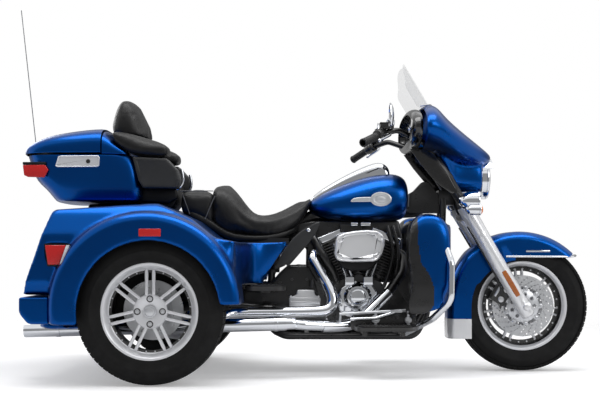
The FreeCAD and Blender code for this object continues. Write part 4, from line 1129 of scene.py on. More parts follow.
@dataclass
class FrontWheel:
    """The steered wheel with its two drilled discs."""

    axle: Point = (1.065, 0.0, 0.311)
    disc_out: float = 0.0585

    def disc(self) -> Piece:
        """Makes the left disc's drilled ring.

        Returns:
            The disc.
        """
        x, _, z = self.axle
        y = self.disc_out
        ring = Piece.turned("front_disc", mm((92, -2.5), (145, -2.5), (145, 2.5), (92, 2.5)), (x, y, z), 80)
        drills = []
        for row, radius in enumerate((0.101, 0.112, 0.123, 0.134)):
            hole = Piece.rod("hole", (x + radius, y - 0.006, z), (x + radius, y + 0.006, z), 0.0036, count=8)
            drills.append(hole.turn(row * 5.5, "Y", self.axle).round_about(22, "Y", self.axle))
        return ring.less(drills[0].join(*drills[1:]))

    def carrier(self) -> Piece:
        """Makes the left disc's bright carrier with its buttons.

        Returns:
            The carrier.
        """
        x, _, z = self.axle
        y = self.disc_out
        middle = Piece.turned("front_carrier", mm(
            (13, 6), (50, 6), (58, 3), (74, 1), (78, -2), (50, -4), (13, -4)), (x, y, z))
        button = Piece.turned("button", mm((0, 6), (5, 6), (8.5, 3), (8.5, -4), (0, -4)), (x + 0.087, y, z), 16)
        arm = Piece.block("arm", (x + 0.07, y - 0.002, z - 0.011), (x + 0.092, y + 0.0015, z + 0.011), 0.001, 2)
        port = Piece.rod("port", (x + 0.054, y - 0.02, z), (x + 0.054, y + 0.02, z), 0.009, count=16)
        middle.less(port.round_about(9, "Y", self.axle))
        return middle.join(button.join(arm).round_about(9, "Y", self.axle))

    def build(self) -> None:
        """Makes the wheel."""
        wheel = Wheel("front", self.axle, 0.311, 0.065, 0.212, 0.05, 0.014, 0.186, 0.05, 10,
                      mm((0, 10), (15, 34), (38, 55)), spoke_half=0.0072, two_faced=True)
        hub = Piece.turned("hub_barrel", mm((13, 53), (34, 53), (38, 46), (34, 14), (34, -14), (38, -46), (34, -53),
                                            (13, -53)), self.axle, 48)
        body = "front_wheel"
        wheel.tyre().done(RUBBER, body, "front_tyre", degrees=40)
        wheel.rim().join(hub).done(WHEEL_SILVER, body, "front_rim", degrees=40).second(BLACK_ENAMEL, wheel.is_dark)
        wheel.well(0.013, 0.021).both().done(BLACK_ENAMEL, body)
        wheel.studs().move((0, -0.002, 0)).both().done(SATIN, body)
        self.disc().both().done(BRAKE_STEEL, body, "front_discs", degrees=30)
        self.carrier().both().done(SATIN, body, degrees=30)


# ---- front bodywork


def rimmed(radius: float, *rows: tuple[float, float]) -> tuple[tuple[float, float], ...]:
    """Places rows (beyond the radius, along), in millimetres, as the points of a turned section."""
    return tuple((radius + out, along) for out, along in mm(*rows))


@dataclass
class Fairing:
    """The handlebar fairing: a bat-shaped wing that blends into the lamp nacelle."""

    wing: Form = sections(
        (560, 1040, 1236, 362), (585, 1034, 1254, 361, 0.47, 2, 2.2), (612, 1026, 1266, 355, 0.46, 2, 2.2),
        (640, 1016, 1260, 343, 0.46, 2, 2.2), (668, 1004, 1226, 326), (700, 990, 1190, 303, 0.5, 2.1, 2.2),
        (750, 970, 1148, 260, 0.53, 2.2, 2.2), (800, 958, 1110, 210, 0.56, 2.3, 2.3),
        (850, 958, 1073, 158, 0.6, 2.4, 2.4),
        (890, 974, 1044, 108, 0.6, 2.4, 2.4), (910, 994, 1028, 70, 0.6, 2.2, 2.2), (916, 1004, 1020, 40, 0.6, 2, 2),
        shape=(0.48, 2, 2.2))
    nacelle: Form = sections(
        (640, 1010, 1070, 200), (690, 955, 1070, 164), (712, 884, 1070, 148), (730, 846, 1070, 132),
        (748, 838, 1065, 123), (800, 838, 1050, 118), (862, 838, 1010, 114), (872, 848, 992, 108), shape=(0.5, 3, 3))
    voxel: float = 0.006
    wall: float = 0.006
    back: float = 0.578
    lamp_height: float = 0.915
    lamp_room: float = 0.0975

    def build(self) -> None:
        """Blends the wing and the nacelle, seats the lamp and opens the back."""
        shell = Piece.loft("front_fairing_shell", self.wing, count=40)
        shell.join(Piece.loft("nacelle", self.nacelle, count=28)).remesh(self.voxel, 14)
        shell.less(Piece.rod("lamp_room", (0.8, 0, self.lamp_height), (1.0, 0, self.lamp_height), self.lamp_room,
                             count=64))
        shell.cut((self.back, 0, 0), (-1, 0, 0), fill=False).thick(self.wall)
        shell.done(PAINT, "steering", "front_fairing")


@dataclass
class FrontFender:
    """The front fender with its bright trims."""

    strip: tuple[Point, ...] = mm((980, 88.5, 545), (1100, 89.5, 545), (1220, 88.5, 544), (1285, 82.5, 544),
                                  (1312, 55, 546), (1327, 20, 549), (1328.5, 0, 550))
    guard_top: float = 0.249
    guard_wall: float = 0.002
    fold: float = 0.8
    tuck: float = 0.8

    def build(self) -> None:
        """Makes the lower strips, the side bars, the fender with its rear drawn in, and the skirt's guard."""
        Piece.pipe("fender_strips", self.strip, 0.0048).both().done(CHROME, "steering")
        bar = Piece.block("fender_side_bars", (1.074, 0.0865, 0.5665), (1.188, 0.0905, 0.5745), 0.0012, 2)
        bar.both().done(CHROME, "steering")
        fender = Piece.copy_of("front_fender_shell", "front_fender").faces(
            lambda place, normal: place.x < self.fold,
            lambda: bpy.ops.transform.resize(value=(self.tuck, 1, 1), center_override=(self.fold, 0, 0)))
        guard = fender.twin("fender_skirt_guard").cut((0, 0, self.guard_top), (0, 0, 1))
        guard.modifier("DISPLACE", strength=self.guard_wall, mid_level=0.0).done(BRIGHT_ALLOY, "steering")
        fender.done(PAINT, "steering", "front_fender", degrees=40)


# ---- cockpit


@dataclass
class Dash:
    """The black inner fairing with its rim, dials, speakers and radio, and the shrouds by the fork."""

    rim: Form = sections(
        (500, 1084, 1196, 240), (504, 1062, 1214, 300), (512, 1048, 1228, 335), (528, 1040, 1237, 350, 0.49, 2.1, 2.3),
        (545, 1037, 1242, 355, 0.48, 2, 2.2), (574.5, 1038, 1238, 353, 0.48, 2, 2.2), shape=(0.5, 2.2, 2.4))
    bowl: Form = sections((470, 1066, 1212, 318), (510, 1068, 1210, 314), (546, 1074, 1204, 304),
                          (552, 1082, 1196, 290), shape=(0.5, 2.4, 2.6))
    face: float = 0.552
    dials: tuple[Point, ...] = mm(  # across, height, radius
        (58, 1142, 44), (-58, 1142, 44), (142, 1158, 26), (-142, 1158, 26), (0, 1186, 16))
    speaker: Point = mm(236, 1136, 50)
    bar_way: tuple[Point, ...] = mm((668, 80, 990), (600, 185, 1062), (452, 262, 1122), (372, 312, 1098))
    shroud: Outline = mm((520, 1046), (588, 1056), (640, 1012), (688, 944), (722, 880), (744, 838), (706, 842),
                         (664, 872), (622, 912), (566, 980))

    def shell(self) -> Piece:
        """Lofts the domed rim, hollows the bowl and leaves the way of the bar and the fork's room.

        Returns:
            The piece.
        """
        shell = Piece.loft("inner_fairing_shell", self.rim, count=40)
        shell.less(Piece.loft("bowl", self.bowl, count=40))
        way = Piece.pipe("way", self.bar_way, 0.023, count=5)
        return shell.less(way.both(), Piece.block("fork_room", (0.44, -0.15, 0.8), (0.7, 0.15, 1.046)))

    def dial_rings(self, name: str, section: Callable[[float], Outline]) -> Piece:
        """Turns one section for every dial.

        Args:
            name: The piece's name.
            section: Gives the section for a dial's radius, measured from the dash's face.

        Returns:
            The rings of all dials.
        """
        first, *others = (Piece.turned(name, section(radius), (self.face, across, height), 48, axis="X")
                          for across, height, radius in self.dials)
        return first.join(*others)

    def marks(self) -> Piece:
        """Makes the pointers and the hour marks of the dials.

        Returns:
            The marks.
        """
        face, made = self.face, []
        for across, height, radius in self.dials[:4]:
            middle, tip = (0, across, height), height + radius
            mark = Piece.block("dial_marks", (face - 0.0042, across - 0.0006, tip - 0.011),
                               (face - 0.0034, across + 0.0006, tip - 0.0065)).round_about(12, "X", middle)
            needle = Piece.block("needle", (face - 0.0056, across - 0.0007, height - 0.006),
                                 (face - 0.0046, across + 0.0007, tip - 0.012))
            made.append(mark.join(needle.turn(52, "X", middle)))
        return made[0].join(*made[1:])

    def speakers(self) -> Piece:
        """Makes the ringed speaker grilles.

        Returns:
            The piece.
        """
        across, height, radius = self.speaker
        section = mm((0, -14), (10, -12.5), (12, -9), (18, -8.5), (20, -11.5), (27, -10.5), (29, -7.5), (35, -7),
                     (37, -9.5)) + rimmed(radius, (-6, -8), (-3, -12), (0, -10), (2, 0)) + (ORIGIN[:2],)
        return Piece.turned("dash_speakers", section, (self.face, across, height), 56, axis="X").both()

    def radio(self) -> Piece:
        """Makes the radio's face with its screen and buttons.

        Returns:
            The piece.
        """
        face = self.face
        block = Piece.block("radio", (face - 0.012, -0.092, 1.066), (face + 0.004, 0.092, 1.096), 0.003)
        block.inset(lambda place, normal: normal.x < -0.9 and abs(place.y) < 0.06, 0.004, -0.002)
        for across in (-0.082, -0.071, 0.071, 0.082):
            block.join(Piece.rod("knob", (face - 0.009, across, 1.081), (face - 0.019, across, 1.081), 0.0045, 0.004,
                                 16, bevel=0.0006))
        return block

    def build(self) -> None:
        """Makes the whole cockpit."""
        self.shell().done(DASH_BLACK, "steering", "inner_fairing", degrees=40)
        bezels = self.dial_rings("dial_bezels", lambda radius: rimmed(
            radius, (-4, 0), (-4, -6), (-1, -9), (3, -6), (4, 0)))
        bezels.done(CHROME, "steering")
        faces = self.dial_rings("dial_faces", lambda radius: mm((0, -4.5), (4, -4.5), (4.5, -3)) + rimmed(
            radius, (-4, -3), (-4, 0)) + (ORIGIN[:2],))
        faces.done(DIAL, "steering")
        self.marks().done(WHITE_LENS, "steering")
        self.speakers().join(self.radio()).done(BLACK_PLASTIC, "steering")
        Piece.plate("fork_shrouds", self.shroud, 0.153, 0.16, 0.002, 2).both().done(DASH_BLACK, "steering")


@dataclass
class Screen:
    """The trim strip at the windscreen's foot, with its screws."""

    path: tuple[Point, ...] = mm((560, 196, 1241), (602, 140, 1254), (630, 75, 1261), (640, 0, 1263))
    screws: tuple[Point, ...] = mm((640, 0, 1263), (606, 132, 1255))

    def build(self) -> None:
        """Makes the strip."""
        strip = Piece.pipe("screen_trim", self.path, 0.004).both()
        for x, y, z in self.screws:
            screw = Piece.turned("screw", mm((0, 5.5), (4, 5), (6.5, 3), (6.8, -2), (0, -2)), steps=20, axis="Z")
            strip.join(screw.along((x + 0.002, y, z), (x + 0.02, y, z + 0.024)))
        strip.done(CHROME, "steering")


@dataclass
class Headlamp:
    """The headlamp: bowl, ringed bezel, clear lens, projector and the hood over it."""

    height: float = 0.915
    radius: float = 0.0955
    front: float = 0.902
    lens: Outline = mm((0, 16.5), (20, 15.8), (40, 13.5), (60, 9.2), (74, 4.5), (82, 0.5))

    def turned(self, name: str, section: Outline, steps: int) -> Piece:
        """Turns a section about the lamp's middle line, measured from its front."""
        return Piece.turned(name, section, (self.front, 0, self.height), steps, axis="X")

    def build(self) -> None:
        """Makes the bowl with its stepped ring, the hood, the bulb's shield and the domed lens."""
        r = self.radius
        bezel = self.turned("headlamp_bezel", mm((0, -62), (40, -60), (70, -52), (88, -46), (90, -36)) + rimmed(
            r, (0, -34), (0, -12), (-2, -10), (0, -8), (0, -3), (-4, 2), (-9, 4), (-13, 2), (-14, -6), (-20, -18)
        ) + mm((50, -40), (20, -46), (0, -47)), 72)
        hood = self.turned("headlamp_hood", rimmed(
            r, (0.5, -34), (3, -32), (3, 10), (1, 18), (-0.5, 17), (-0.5, 8)), 72)
        hood.cut((self.front, 0, self.height + r * 0.44), (0.25, 0, -1))
        bulb = self.turned("headlamp_bulb", mm((0, -8), (12, -10), (20, -18), (22, -34), (30, -36), (34, -30),
                                               (38, -38), (0, -42)), 40)
        bezel.join(hood, bulb).done(CHROME, "steering", "headlamp", degrees=40)
        inner = tuple((radius * 0.985, along - 0.003) for radius, along in reversed(self.lens))
        self.turned("headlamp_lens", self.lens + inner, 64).done(CLEAR_LENS, "steering", degrees=60)


@dataclass
class LampBar:
    """The bright bar under the nacelle with a spot lamp and a turn signal at each end."""

    spot: Point = (0.784, 0.206, 0.8)
    signal: Point = (0.788, 0.238, 0.76)
    reach: float = 0.044
    wing: Form = sections((748, 812, 824, 10), (770, 806, 830, 16), (800, 812, 836, 16), (846, 826, 842, 12),
                          (858, 832, 840, 6), shape=(0.5, 3, 3))
    bars: tuple[tuple[float, tuple[Point, ...]], ...] = (
        (0.01, mm((800, 70, 735), (812, 72, 765), (846, 78, 779))),
        (0.0065, mm((748, 112, 838), (775, 119, 846), (812, 122, 841), (852, 112, 846), (874, 70, 836), (880, 0, 832))),
        (0.009, mm((804, 206, 776), (802, 226, 764), (800, 238, 760))))

    def lamp(self, name: str, place: Point, r: float, back: float) -> Piece:
        """Makes one bullet-shaped lamp body.

        Args:
            name: Its name.
            place: The middle of its widest part.
            r: Its radius.
            back: How far its tail reaches back.

        Returns:
            The body.
        """
        rim = self.reach
        return Piece.turned(name, (
            (0.0, -back), (r * 0.34, -back * 0.96), (r * 0.62, -back * 0.72), (r * 0.84, -back * 0.4),
            (r * 0.96, -back * 0.1), (r * 0.99, rim * 0.5), (r * 0.99, rim - 0.006), (r * 1.04, rim - 0.005),
            (r * 1.05, rim), (r * 1.02, rim + 0.003), (r * 0.93, rim + 0.003), (r * 0.9, rim - 0.004),
            (0.0, rim - 0.01)), place, 48, axis="X")

    def glass(self, name: str, place: Point, r: float, bulge: float) -> Piece:
        """Makes the domed lenses of one pair of lamps.

        Args:
            name: The piece's name.
            place: The middle of its rim.
            r: Its radius.
            bulge: How far its middle stands out.

        Returns:
            The piece.
        """
        section = ((0.0, bulge), (r * 0.35, bulge * 0.92), (r * 0.65, bulge * 0.66), (r * 0.88, bulge * 0.2),
                   (r * 0.92, -0.003), (0.0, -0.006))
        return Piece.turned(name, section, (place[0] + self.reach, *place[1:]), 40, axis="X").both()

    def build(self) -> None:
        """Makes the bar with its wings and the strip that curls under the nacelle, then the lamps."""
        bodies = self.lamp("lamp_bodies", self.spot, 0.046, 0.046)
        bodies.join(self.lamp("signal_body", self.signal, 0.025, 0.024)).both()
        tube = Piece.pipe("lamp_bar_tube", mm((812, 210, 770), (840, 160, 776), (858, 100, 780), (862, 0, 781)), 0.011,
                          count=6)
        wing = Piece.loft("wing", self.wing, count=16).move((0, 0.124, 0))
        tube.join(wing, *(Piece.pipe("bar", path, radius) for radius, path in self.bars)).both()
        bodies.join(tube).done(CHROME, "steering", "lamp_bar", degrees=40)
        self.glass("spot_glasses", self.spot, 0.046, 0.008).done(WHITE_LENS, "steering", degrees=60)
        self.glass("signal_glasses", self.signal, 0.025, 0.014).done(AMBER_LENS, "steering", degrees=60)


def frame_of(across: Point, deep: Point, up: Point, place: Vector) -> Matrix:
    """The matrix that lays a form's own X, Y and Z along three directions at a place."""
    return Matrix.Translation(place) @ Matrix([Vector(line) for line in (across, deep, up)]).transposed().to_4x4()


@dataclass
class Fork:
    """Bright sleeves, reflectors, axle caps and calipers' fittings on the front fork."""

    axle: Point = (1.065, 0.0, 0.311)
    lean: tuple[float, float] = (-0.506, 0.8625)
    half: float = 0.125
    back: float = 0.01
    caliper: tuple[float, float] = (0.957, 0.372)
    clamps: Outline = ((0.505, 0.03), (0.735, 0.022))
    line: tuple[Point, ...] = mm((462, 6, -37), (400, 4, -37), (300, 0, -37), (160, -6, -37), (85, -30, -60),
                                 (45, -52, -90))

    def at(self, along: float, out: float = 0.0, ahead: float = 0.0) -> Vector:
        """A point on the left leg.

        Args:
            along: Distance up the leg from the axle.
            out: Distance outwards from its middle.
            ahead: Distance ahead, square to the leg.

        Returns:
            The point.
        """
        x, _, z = self.axle
        dx, dz = self.lean
        ahead -= self.back
        return Vector((x + dx * along + dz * ahead, self.half + out, z + dz * along - dx * ahead))

    def sleeve(self) -> Piece:
        """Makes one whole slider, foot, barrel, collar and upper cover, with the axle's cap.

        Returns:
            The piece.
        """
        cover = Piece.turned("fork_covers", mm(
            (0, -48), (22, -47), (30.5, -41), (33, -34), (33.5, 30), (32.5, 42), (34, 60), (34.5, 378), (35, 384),
            (35.2, 388), (35.2, 398), (34.5, 402), (35.2, 410), (36.8, 474), (37.2, 545), (35.5, 551), (25.5, 551),
            (0, 470)), steps=48, axis="Z")
        cap = Piece.turned("cap", mm((0, 171), (10, 170), (16, 167), (19, 162), (19, 154), (22, 153), (22.5, 148),
                                     (0, 148)), self.axle, 40)
        return cover.along(self.at(0.0), self.at(1.0)).join(cap)

    def reflector(self) -> Piece:
        """Makes the long reflector on the outer side of the leg.

        Returns:
            The piece.
        """
        dx, dz = self.lean
        plate = Piece.loft("fork_reflectors", sections((0, -3.5, 3.5, 10), (4, -3.5, 4.5, 12.5), (132, -3.5, 4.5, 12.5),
                                                       (136, -3.5, 3.5, 10)), count=16)
        return plate.warp(frame_of((dx, 0, dz), (dz, 0, -dx), (0, 1, 0), self.at(0.064, 0.0335))).outward()

    def tubes(self) -> Piece:
        """Makes the dark upper tubes and the two clamps.

        Returns:
            The piece.
        """
        tube = Piece.turned("fork_tube_set", mm((0, 470), (24.5, 470), (24.5, 690), (26.2, 694), (26.2, 800), (22, 812),
                                                (0, 814)), steps=40, axis="Z").along(self.at(0.0), self.at(1.0))
        dx, dz = self.lean
        for level, deep in self.clamps:
            clamp = Piece.loft("clamp", tuple(
                Section(at, -deep / 2, deep / 2, half, top=6, foot=6)
                for at, half in ((-0.036, 0.07), (-0.03, 0.146), (0.026, 0.146), (0.034, 0.11))), count=24)
            place = self.at(level, -self.half)
            tube.join(clamp.warp(frame_of((dz, 0, -dx), (0, 1, 0), (dx, 0, dz), place)).outward())
        return tube

    def calipers(self) -> Piece:
        """Makes the bright piston caps and bolts on the calipers' outer faces.

        Returns:
            The piece.
        """
        x, z = self.caliper
        lean, rise = -self.lean[0], self.lean[1]
        middle = Vector((x - rise * 0.021, 0.1, z + lean * 0.021))
        reach = Vector((lean, 0, rise)) * 0.028
        bar = Piece.rod("caliper_caps", middle - reach, middle + reach, 0.0062, count=16, bevel=0.001)
        for shift in (-0.026, 0.026):
            bar.join(Piece.turned("cap", mm((0, 103.5), (11, 103), (14, 101), (15.5, 98), (0, 98)),
                                  (x + lean * shift + rise * 0.012, 0, z + rise * shift - lean * 0.012), 32))
        return bar

    def build(self) -> None:
        """Makes the fork's bright and dark details, and the brake lines that run down the legs."""
        self.sleeve().both().done(BRIGHT_ALLOY, "steering", "fork_sliders", degrees=40)
        self.tubes().both().done(BLACK_ENAMEL, "steering", "fork_tubes", degrees=40)
        self.reflector().both().done(AMBER_REFLECTOR, "steering", degrees=40)
        self.calipers().both().done(BRAKE_STEEL, "steering")
        lines = Piece.pipe("brake_lines", [self.at(*place) for place in self.line], 0.0042)
        lines.both().done(BLACK_ENAMEL, "steering")


@dataclass
class Bars:
    """Ribbed grips, levers, switch housings and mirrors on the handlebar."""

    grip_end: Point = (0.284, 0.432, 1.046)
    elbow: Point = (0.372, 0.312, 1.098)
    grip_length: float = 0.122
    rib_count: int = 11
    rib_pitch: float = 0.0088
    mirror: Point = (0.416, 0.375, 1.172)
    lever: tuple[tuple[float, Point], ...] = (
        # along the grip from its inner end, and the shift from its middle line
        (-0.036, (0.02, 0, 0)), (-0.024, (0.05, 0, 0.004)), (0.01, (0.064, 0, 0.006)), (0.06, (0.06, 0, 0.004)),
        (0.094, (0.06, 0, 0.004)))

    def __post_init__(self) -> None:
        """Finds the direction of the left grip, outwards, and its inner end."""
        self.aim = (Vector(self.grip_end) - Vector(self.elbow)).normalized()
        self.start = Vector(self.grip_end) - self.aim * self.grip_length

    def grip(self) -> Piece:
        """Turns one grip with its ribs and flanges.

        Returns:
            The piece.
        """
        section = list(mm((13.1, 0), (21, 0), (21.5, 4), (18, 6)))
        for step in range(self.rib_count):
            along = 0.011 + step * self.rib_pitch
            section += [(0.0172, along), (0.0182, along + 0.0012), (0.0182, along + 0.0062), (0.0172, along + 0.0074)]
        length = self.grip_length
        section += [(0.0195, length - 0.008), (0.0198, length - 0.002), (0.017, length + 0.001), (0.0131, length)]
        return Piece.turned("grip_sleeves", section, steps=40, axis="Z").along(self.start, self.grip_end)

    def housing(self) -> Piece:
        """Makes one switch housing with its buttons, and the fluid reservoir over it.

        Returns:
            The piece.
        """
        body = Piece.turned("switch_housings", mm(
            (13.5, -60), (22, -59), (26.2, -54), (26.8, -46), (25.5, -42), (26.8, -38), (26.8, -10), (25.5, -4),
            (21, -1), (13.5, -1)), steps=40, axis="Z")
        for level, turn in ((-0.046, 0.0), (-0.03, 24.0), (-0.018, -20.0)):
            button = Piece.block("button", (-0.005, 0.024, level - 0.004), (0.005, 0.0305, level + 0.004), 0.0012, 2)
            body.join(button.turn(turn, "Z"))
        body.along(self.start, self.grip_end)
        x, y, z = self.start - self.aim * 0.045
        tank = Piece.block("tank", (x - 0.008, y - 0.02, z + 0.02), (x + 0.054, y + 0.02, z + 0.044), 0.005)
        lid = Piece.block("lid", (x - 0.01, y - 0.022, z + 0.042), (x + 0.056, y + 0.022, z + 0.05), 0.003)
        return body.join(tank, lid.inset(lambda place, normal: normal.z > 0.9, 0.006, -0.0012))

    def hand_lever(self) -> Piece:
        """Makes one hand lever with its ball end.

        Returns:
            The piece.
        """
        path = [self.start + self.aim * along + Vector(shift) for along, shift in self.lever]
        ball = Piece.turned("ball", mm((0, 8.2), (5, 6.8), (7.8, 3.5), (8.4, 0), (7.8, -3.5), (5, -6.8), (0, -8.2)),
                            steps=24, axis="Z")
        return Piece.pipe("hand_levers", path, 0.0058).join(ball.move(path[-1]))

    def mirror_head(self) -> Piece:
        """Makes one mirror's bowl and stalk.

        Returns:
            The piece.
        """
        x, y, z = self.mirror
        bowl = Piece.turned("mirror_bowls", mm((0, 10), (20, 9), (40, 5.5), (52, 0), (57.5, -5), (58, -8), (56, -9),
                                               (54, -6.5), (0, -6.5)), self.mirror, 56, axis="X")
        foot = Vector(self.grip_end) - self.aim * (self.grip_length + 0.03) + Vector((0.028, 0, 0.049))
        return bowl.join(Piece.pipe("stalk", (foot, foot + Vector((0.01, 0.006, 0.03)),
                                              (x + 0.01, y - 0.012, z - 0.052), (x + 0.007, y, z - 0.018)), 0.0062))

    def build(self) -> None:
        """Makes the grips, controls and mirrors of both sides."""
        self.grip().both().done(GRIP_RUBBER, "steering", "grips", degrees=40)
        self.housing().both().done(BLACK_ENAMEL, "steering", "hand_controls", degrees=40)
        self.hand_lever().both().done(CHROME, "steering", degrees=60)
        self.mirror_head().both().done(CHROME, "steering", "mirrors", degrees=50)
        glass = Piece.turned("mirror_glasses", mm((0, -8.5), (30, -8.2), (53.5, -7.2), (53.5, -6.6), (0, -6.6)),
                             self.mirror, 56, axis="X")
        glass.both().done(MIRROR, "steering", degrees=60)


# ---- leg shields, boards and side covers


@dataclass
class LegShields:
    """The painted leg shields with their black inner faces and lockers."""

    voxel: float = 0.006
    rounds: int = 14
    shoulder: float = 0.69
    line: Outline = mm(  # level, along: the edge between the paint ahead and the black behind
        (270, 560), (330, 604), (400, 606), (460, 586), (520, 545), (600, 534), (760, 533))
    locker: Form = sections(
        (490, 560, 640, 50), (497, 470, 685, 70), (510, 310, 706, 80), (535, 286, 734, 84), (575, 294, 742.5, 84),
        (620, 318, 738, 84), (655, 345, 716, 81), (674, 385, 682, 72), (684, 440, 640, 55))

    def edge_at(self, level: float) -> float:
        """Finds where the paint ends at one level.

        Args:
            level: The level.

        Returns:
            The place along the form.
        """
        for (low, start), (high, end) in zip(self.line, self.line[1:]):
            if level <= high:
                return start + (end - start) * min(1.0, max(0.0, (level - low) / (high - low)))
        return self.line[-1][1]

    def is_black(self, place: Vector, normal: Vector) -> bool:
        """Whether a face is behind the edge of the paint, or looks inwards."""
        inwards = normal.y * place.y < 0 and abs(normal.y) > 0.7 and place.x < 0.6
        return inwards or normal.x < -0.75 or place.x < self.edge_at(place.z)

    def build(self) -> None:
        """Makes both shields with their rounded lockers."""
        shell = Piece.copy_of("leg_shield_shells", "leg_shields").cut((0, 0, self.shoulder), (0, 0, 1))
        locker = Piece.loft("locker", self.locker).move((0, 0.306, 0))
        shell.join(locker.both()).remesh(self.voxel, self.rounds)
        shell.done(PAINT, "chassis", "leg_shields", degrees=60).second(BLACK_ENAMEL, self.is_black)


@dataclass
class Boards:
    """Rubber pads with ribs on the boards, and the bright linkage beside the right one."""

    rider: Outline = mm((268, -288), (270, -372), (290, -394), (486, -394), (508, -376), (532, -304), (526, -288))
    perch: Outline = mm((-234, -246), (-228, -308), (-214, -321), (-90, -321), (-76, -308), (-66, -246))
    rider_top: float = 0.2375
    perch_top: float = 0.4175
    rib_pitch: float = 0.017
    rail: tuple[Point, Point] = mm((186, -284, 285.5), (487, -284, 302))
    bracket: Outline = mm((240, 215), (236, 262), (262, 280), (310, 286), (500, 294), (535, 262), (535, 215))
    bosses: tuple[Point, ...] = mm((351, 262, 20), (499, 257, 16))
    bolts: Outline = mm((276, 262), (300, 240), (330, 236), (402, 270), (432, 240), (452, 268))

    def pad(self, outline: Outline, top: float, start: float, ribs: int, far: float) -> Piece:
        """Makes one ribbed pad.

        Args:
            outline: Its outline.
            top: The level of its face.
            start: Where its first rib is.
            ribs: How many ribs it has.
            far: How far out the ribs reach.

        Returns:
            The pad.
        """
        near = max(across for _, across in outline) - 0.01
        pad = Piece.plate("board_pads", outline, top - 0.0055, top, 0.002, 2, plane="XY")
        rib = Piece.block("rib", (start, -far, top - 0.001), (start + 0.006, near, top + 0.003), 0.0014, 1)
        return pad.join(rib.repeat(ribs, (self.rib_pitch, 0, 0)))

    def linkage(self) -> Piece:
        """Makes the bright rail over the right board's outer edge on its two turned posts.

        Returns:
            The piece.
        """
        start, end = self.rail
        rail = Piece.rod("board_linkage", start, end, 0.0065, count=20, bevel=0.001)
        for x, z, r in self.bosses:
            boss = Piece.turned("boss", ((0.0, -0.294), (r * 0.5, -0.293), (r * 0.6, -0.29), (r * 0.85, -0.29),
                                         (r, -0.284), (r, -0.266), (0.0, -0.266)), (x, 0, z), 32)
            rail.join(boss, Piece.rod("post", (x, -0.28, 0.232), (x, -0.28, 0.299), 0.007, 0.0058))
        return rail.join(Piece.rod("hanger", (start[0] + 0.006, -0.284, start[2]), (start[0] + 0.004, -0.258, 0.245),
                                   0.0055))

    def build(self) -> None:
        """Makes the pads of both sides, the linkage and its bracket."""
        pads = self.pad(self.rider, self.rider_top, 0.284, 13, 0.384)
        pads.join(self.pad(self.perch, self.perch_top, -0.222, 8, 0.312)).both().done(GRIP_RUBBER, "chassis")
        self.linkage().done(SATIN, "chassis", degrees=40)
        bracket = Piece.plate("board_bracket", self.bracket, -0.27, -0.258, 0.004, 2)
        bracket.join(*(Piece.rod("bolt", (x, -0.266, z), (x, -0.277, z), 0.0075, 0.0062, 12) for x, z in self.bolts))
        bracket.done(BLACK_ENAMEL, "chassis", degrees=40)


@dataclass
class SideCovers:
    """The leaf-shaped side covers under the rider's seat, each with a bright screw."""

    leaf: Outline = mm(
        (101, 708), (80, 703), (55, 690), (10, 662), (-26, 630), (-55, 592), (-76, 560), (-98, 520), (-117, 490),
        (-106, 484), (-64, 502), (-20, 540), (24, 579), (56, 616), (82, 656), (98, 690))

    def build(self) -> None:
        """Makes both covers."""
        cover = Piece.plate("side_cover_leaves", self.leaf, -0.172, -0.15, 0.009, 4)
        cover.both().done(GREY_PLASTIC, "chassis", degrees=40)
        screw = Piece.turned("side_cover_screws", mm((0, -177.5), (6, -177), (8.5, -175), (9, -171), (0, -171)),
                             (0.048, 0, 0.668), 24)
        screw.both().done(CHROME, "chassis")


# ---- rear bodywork


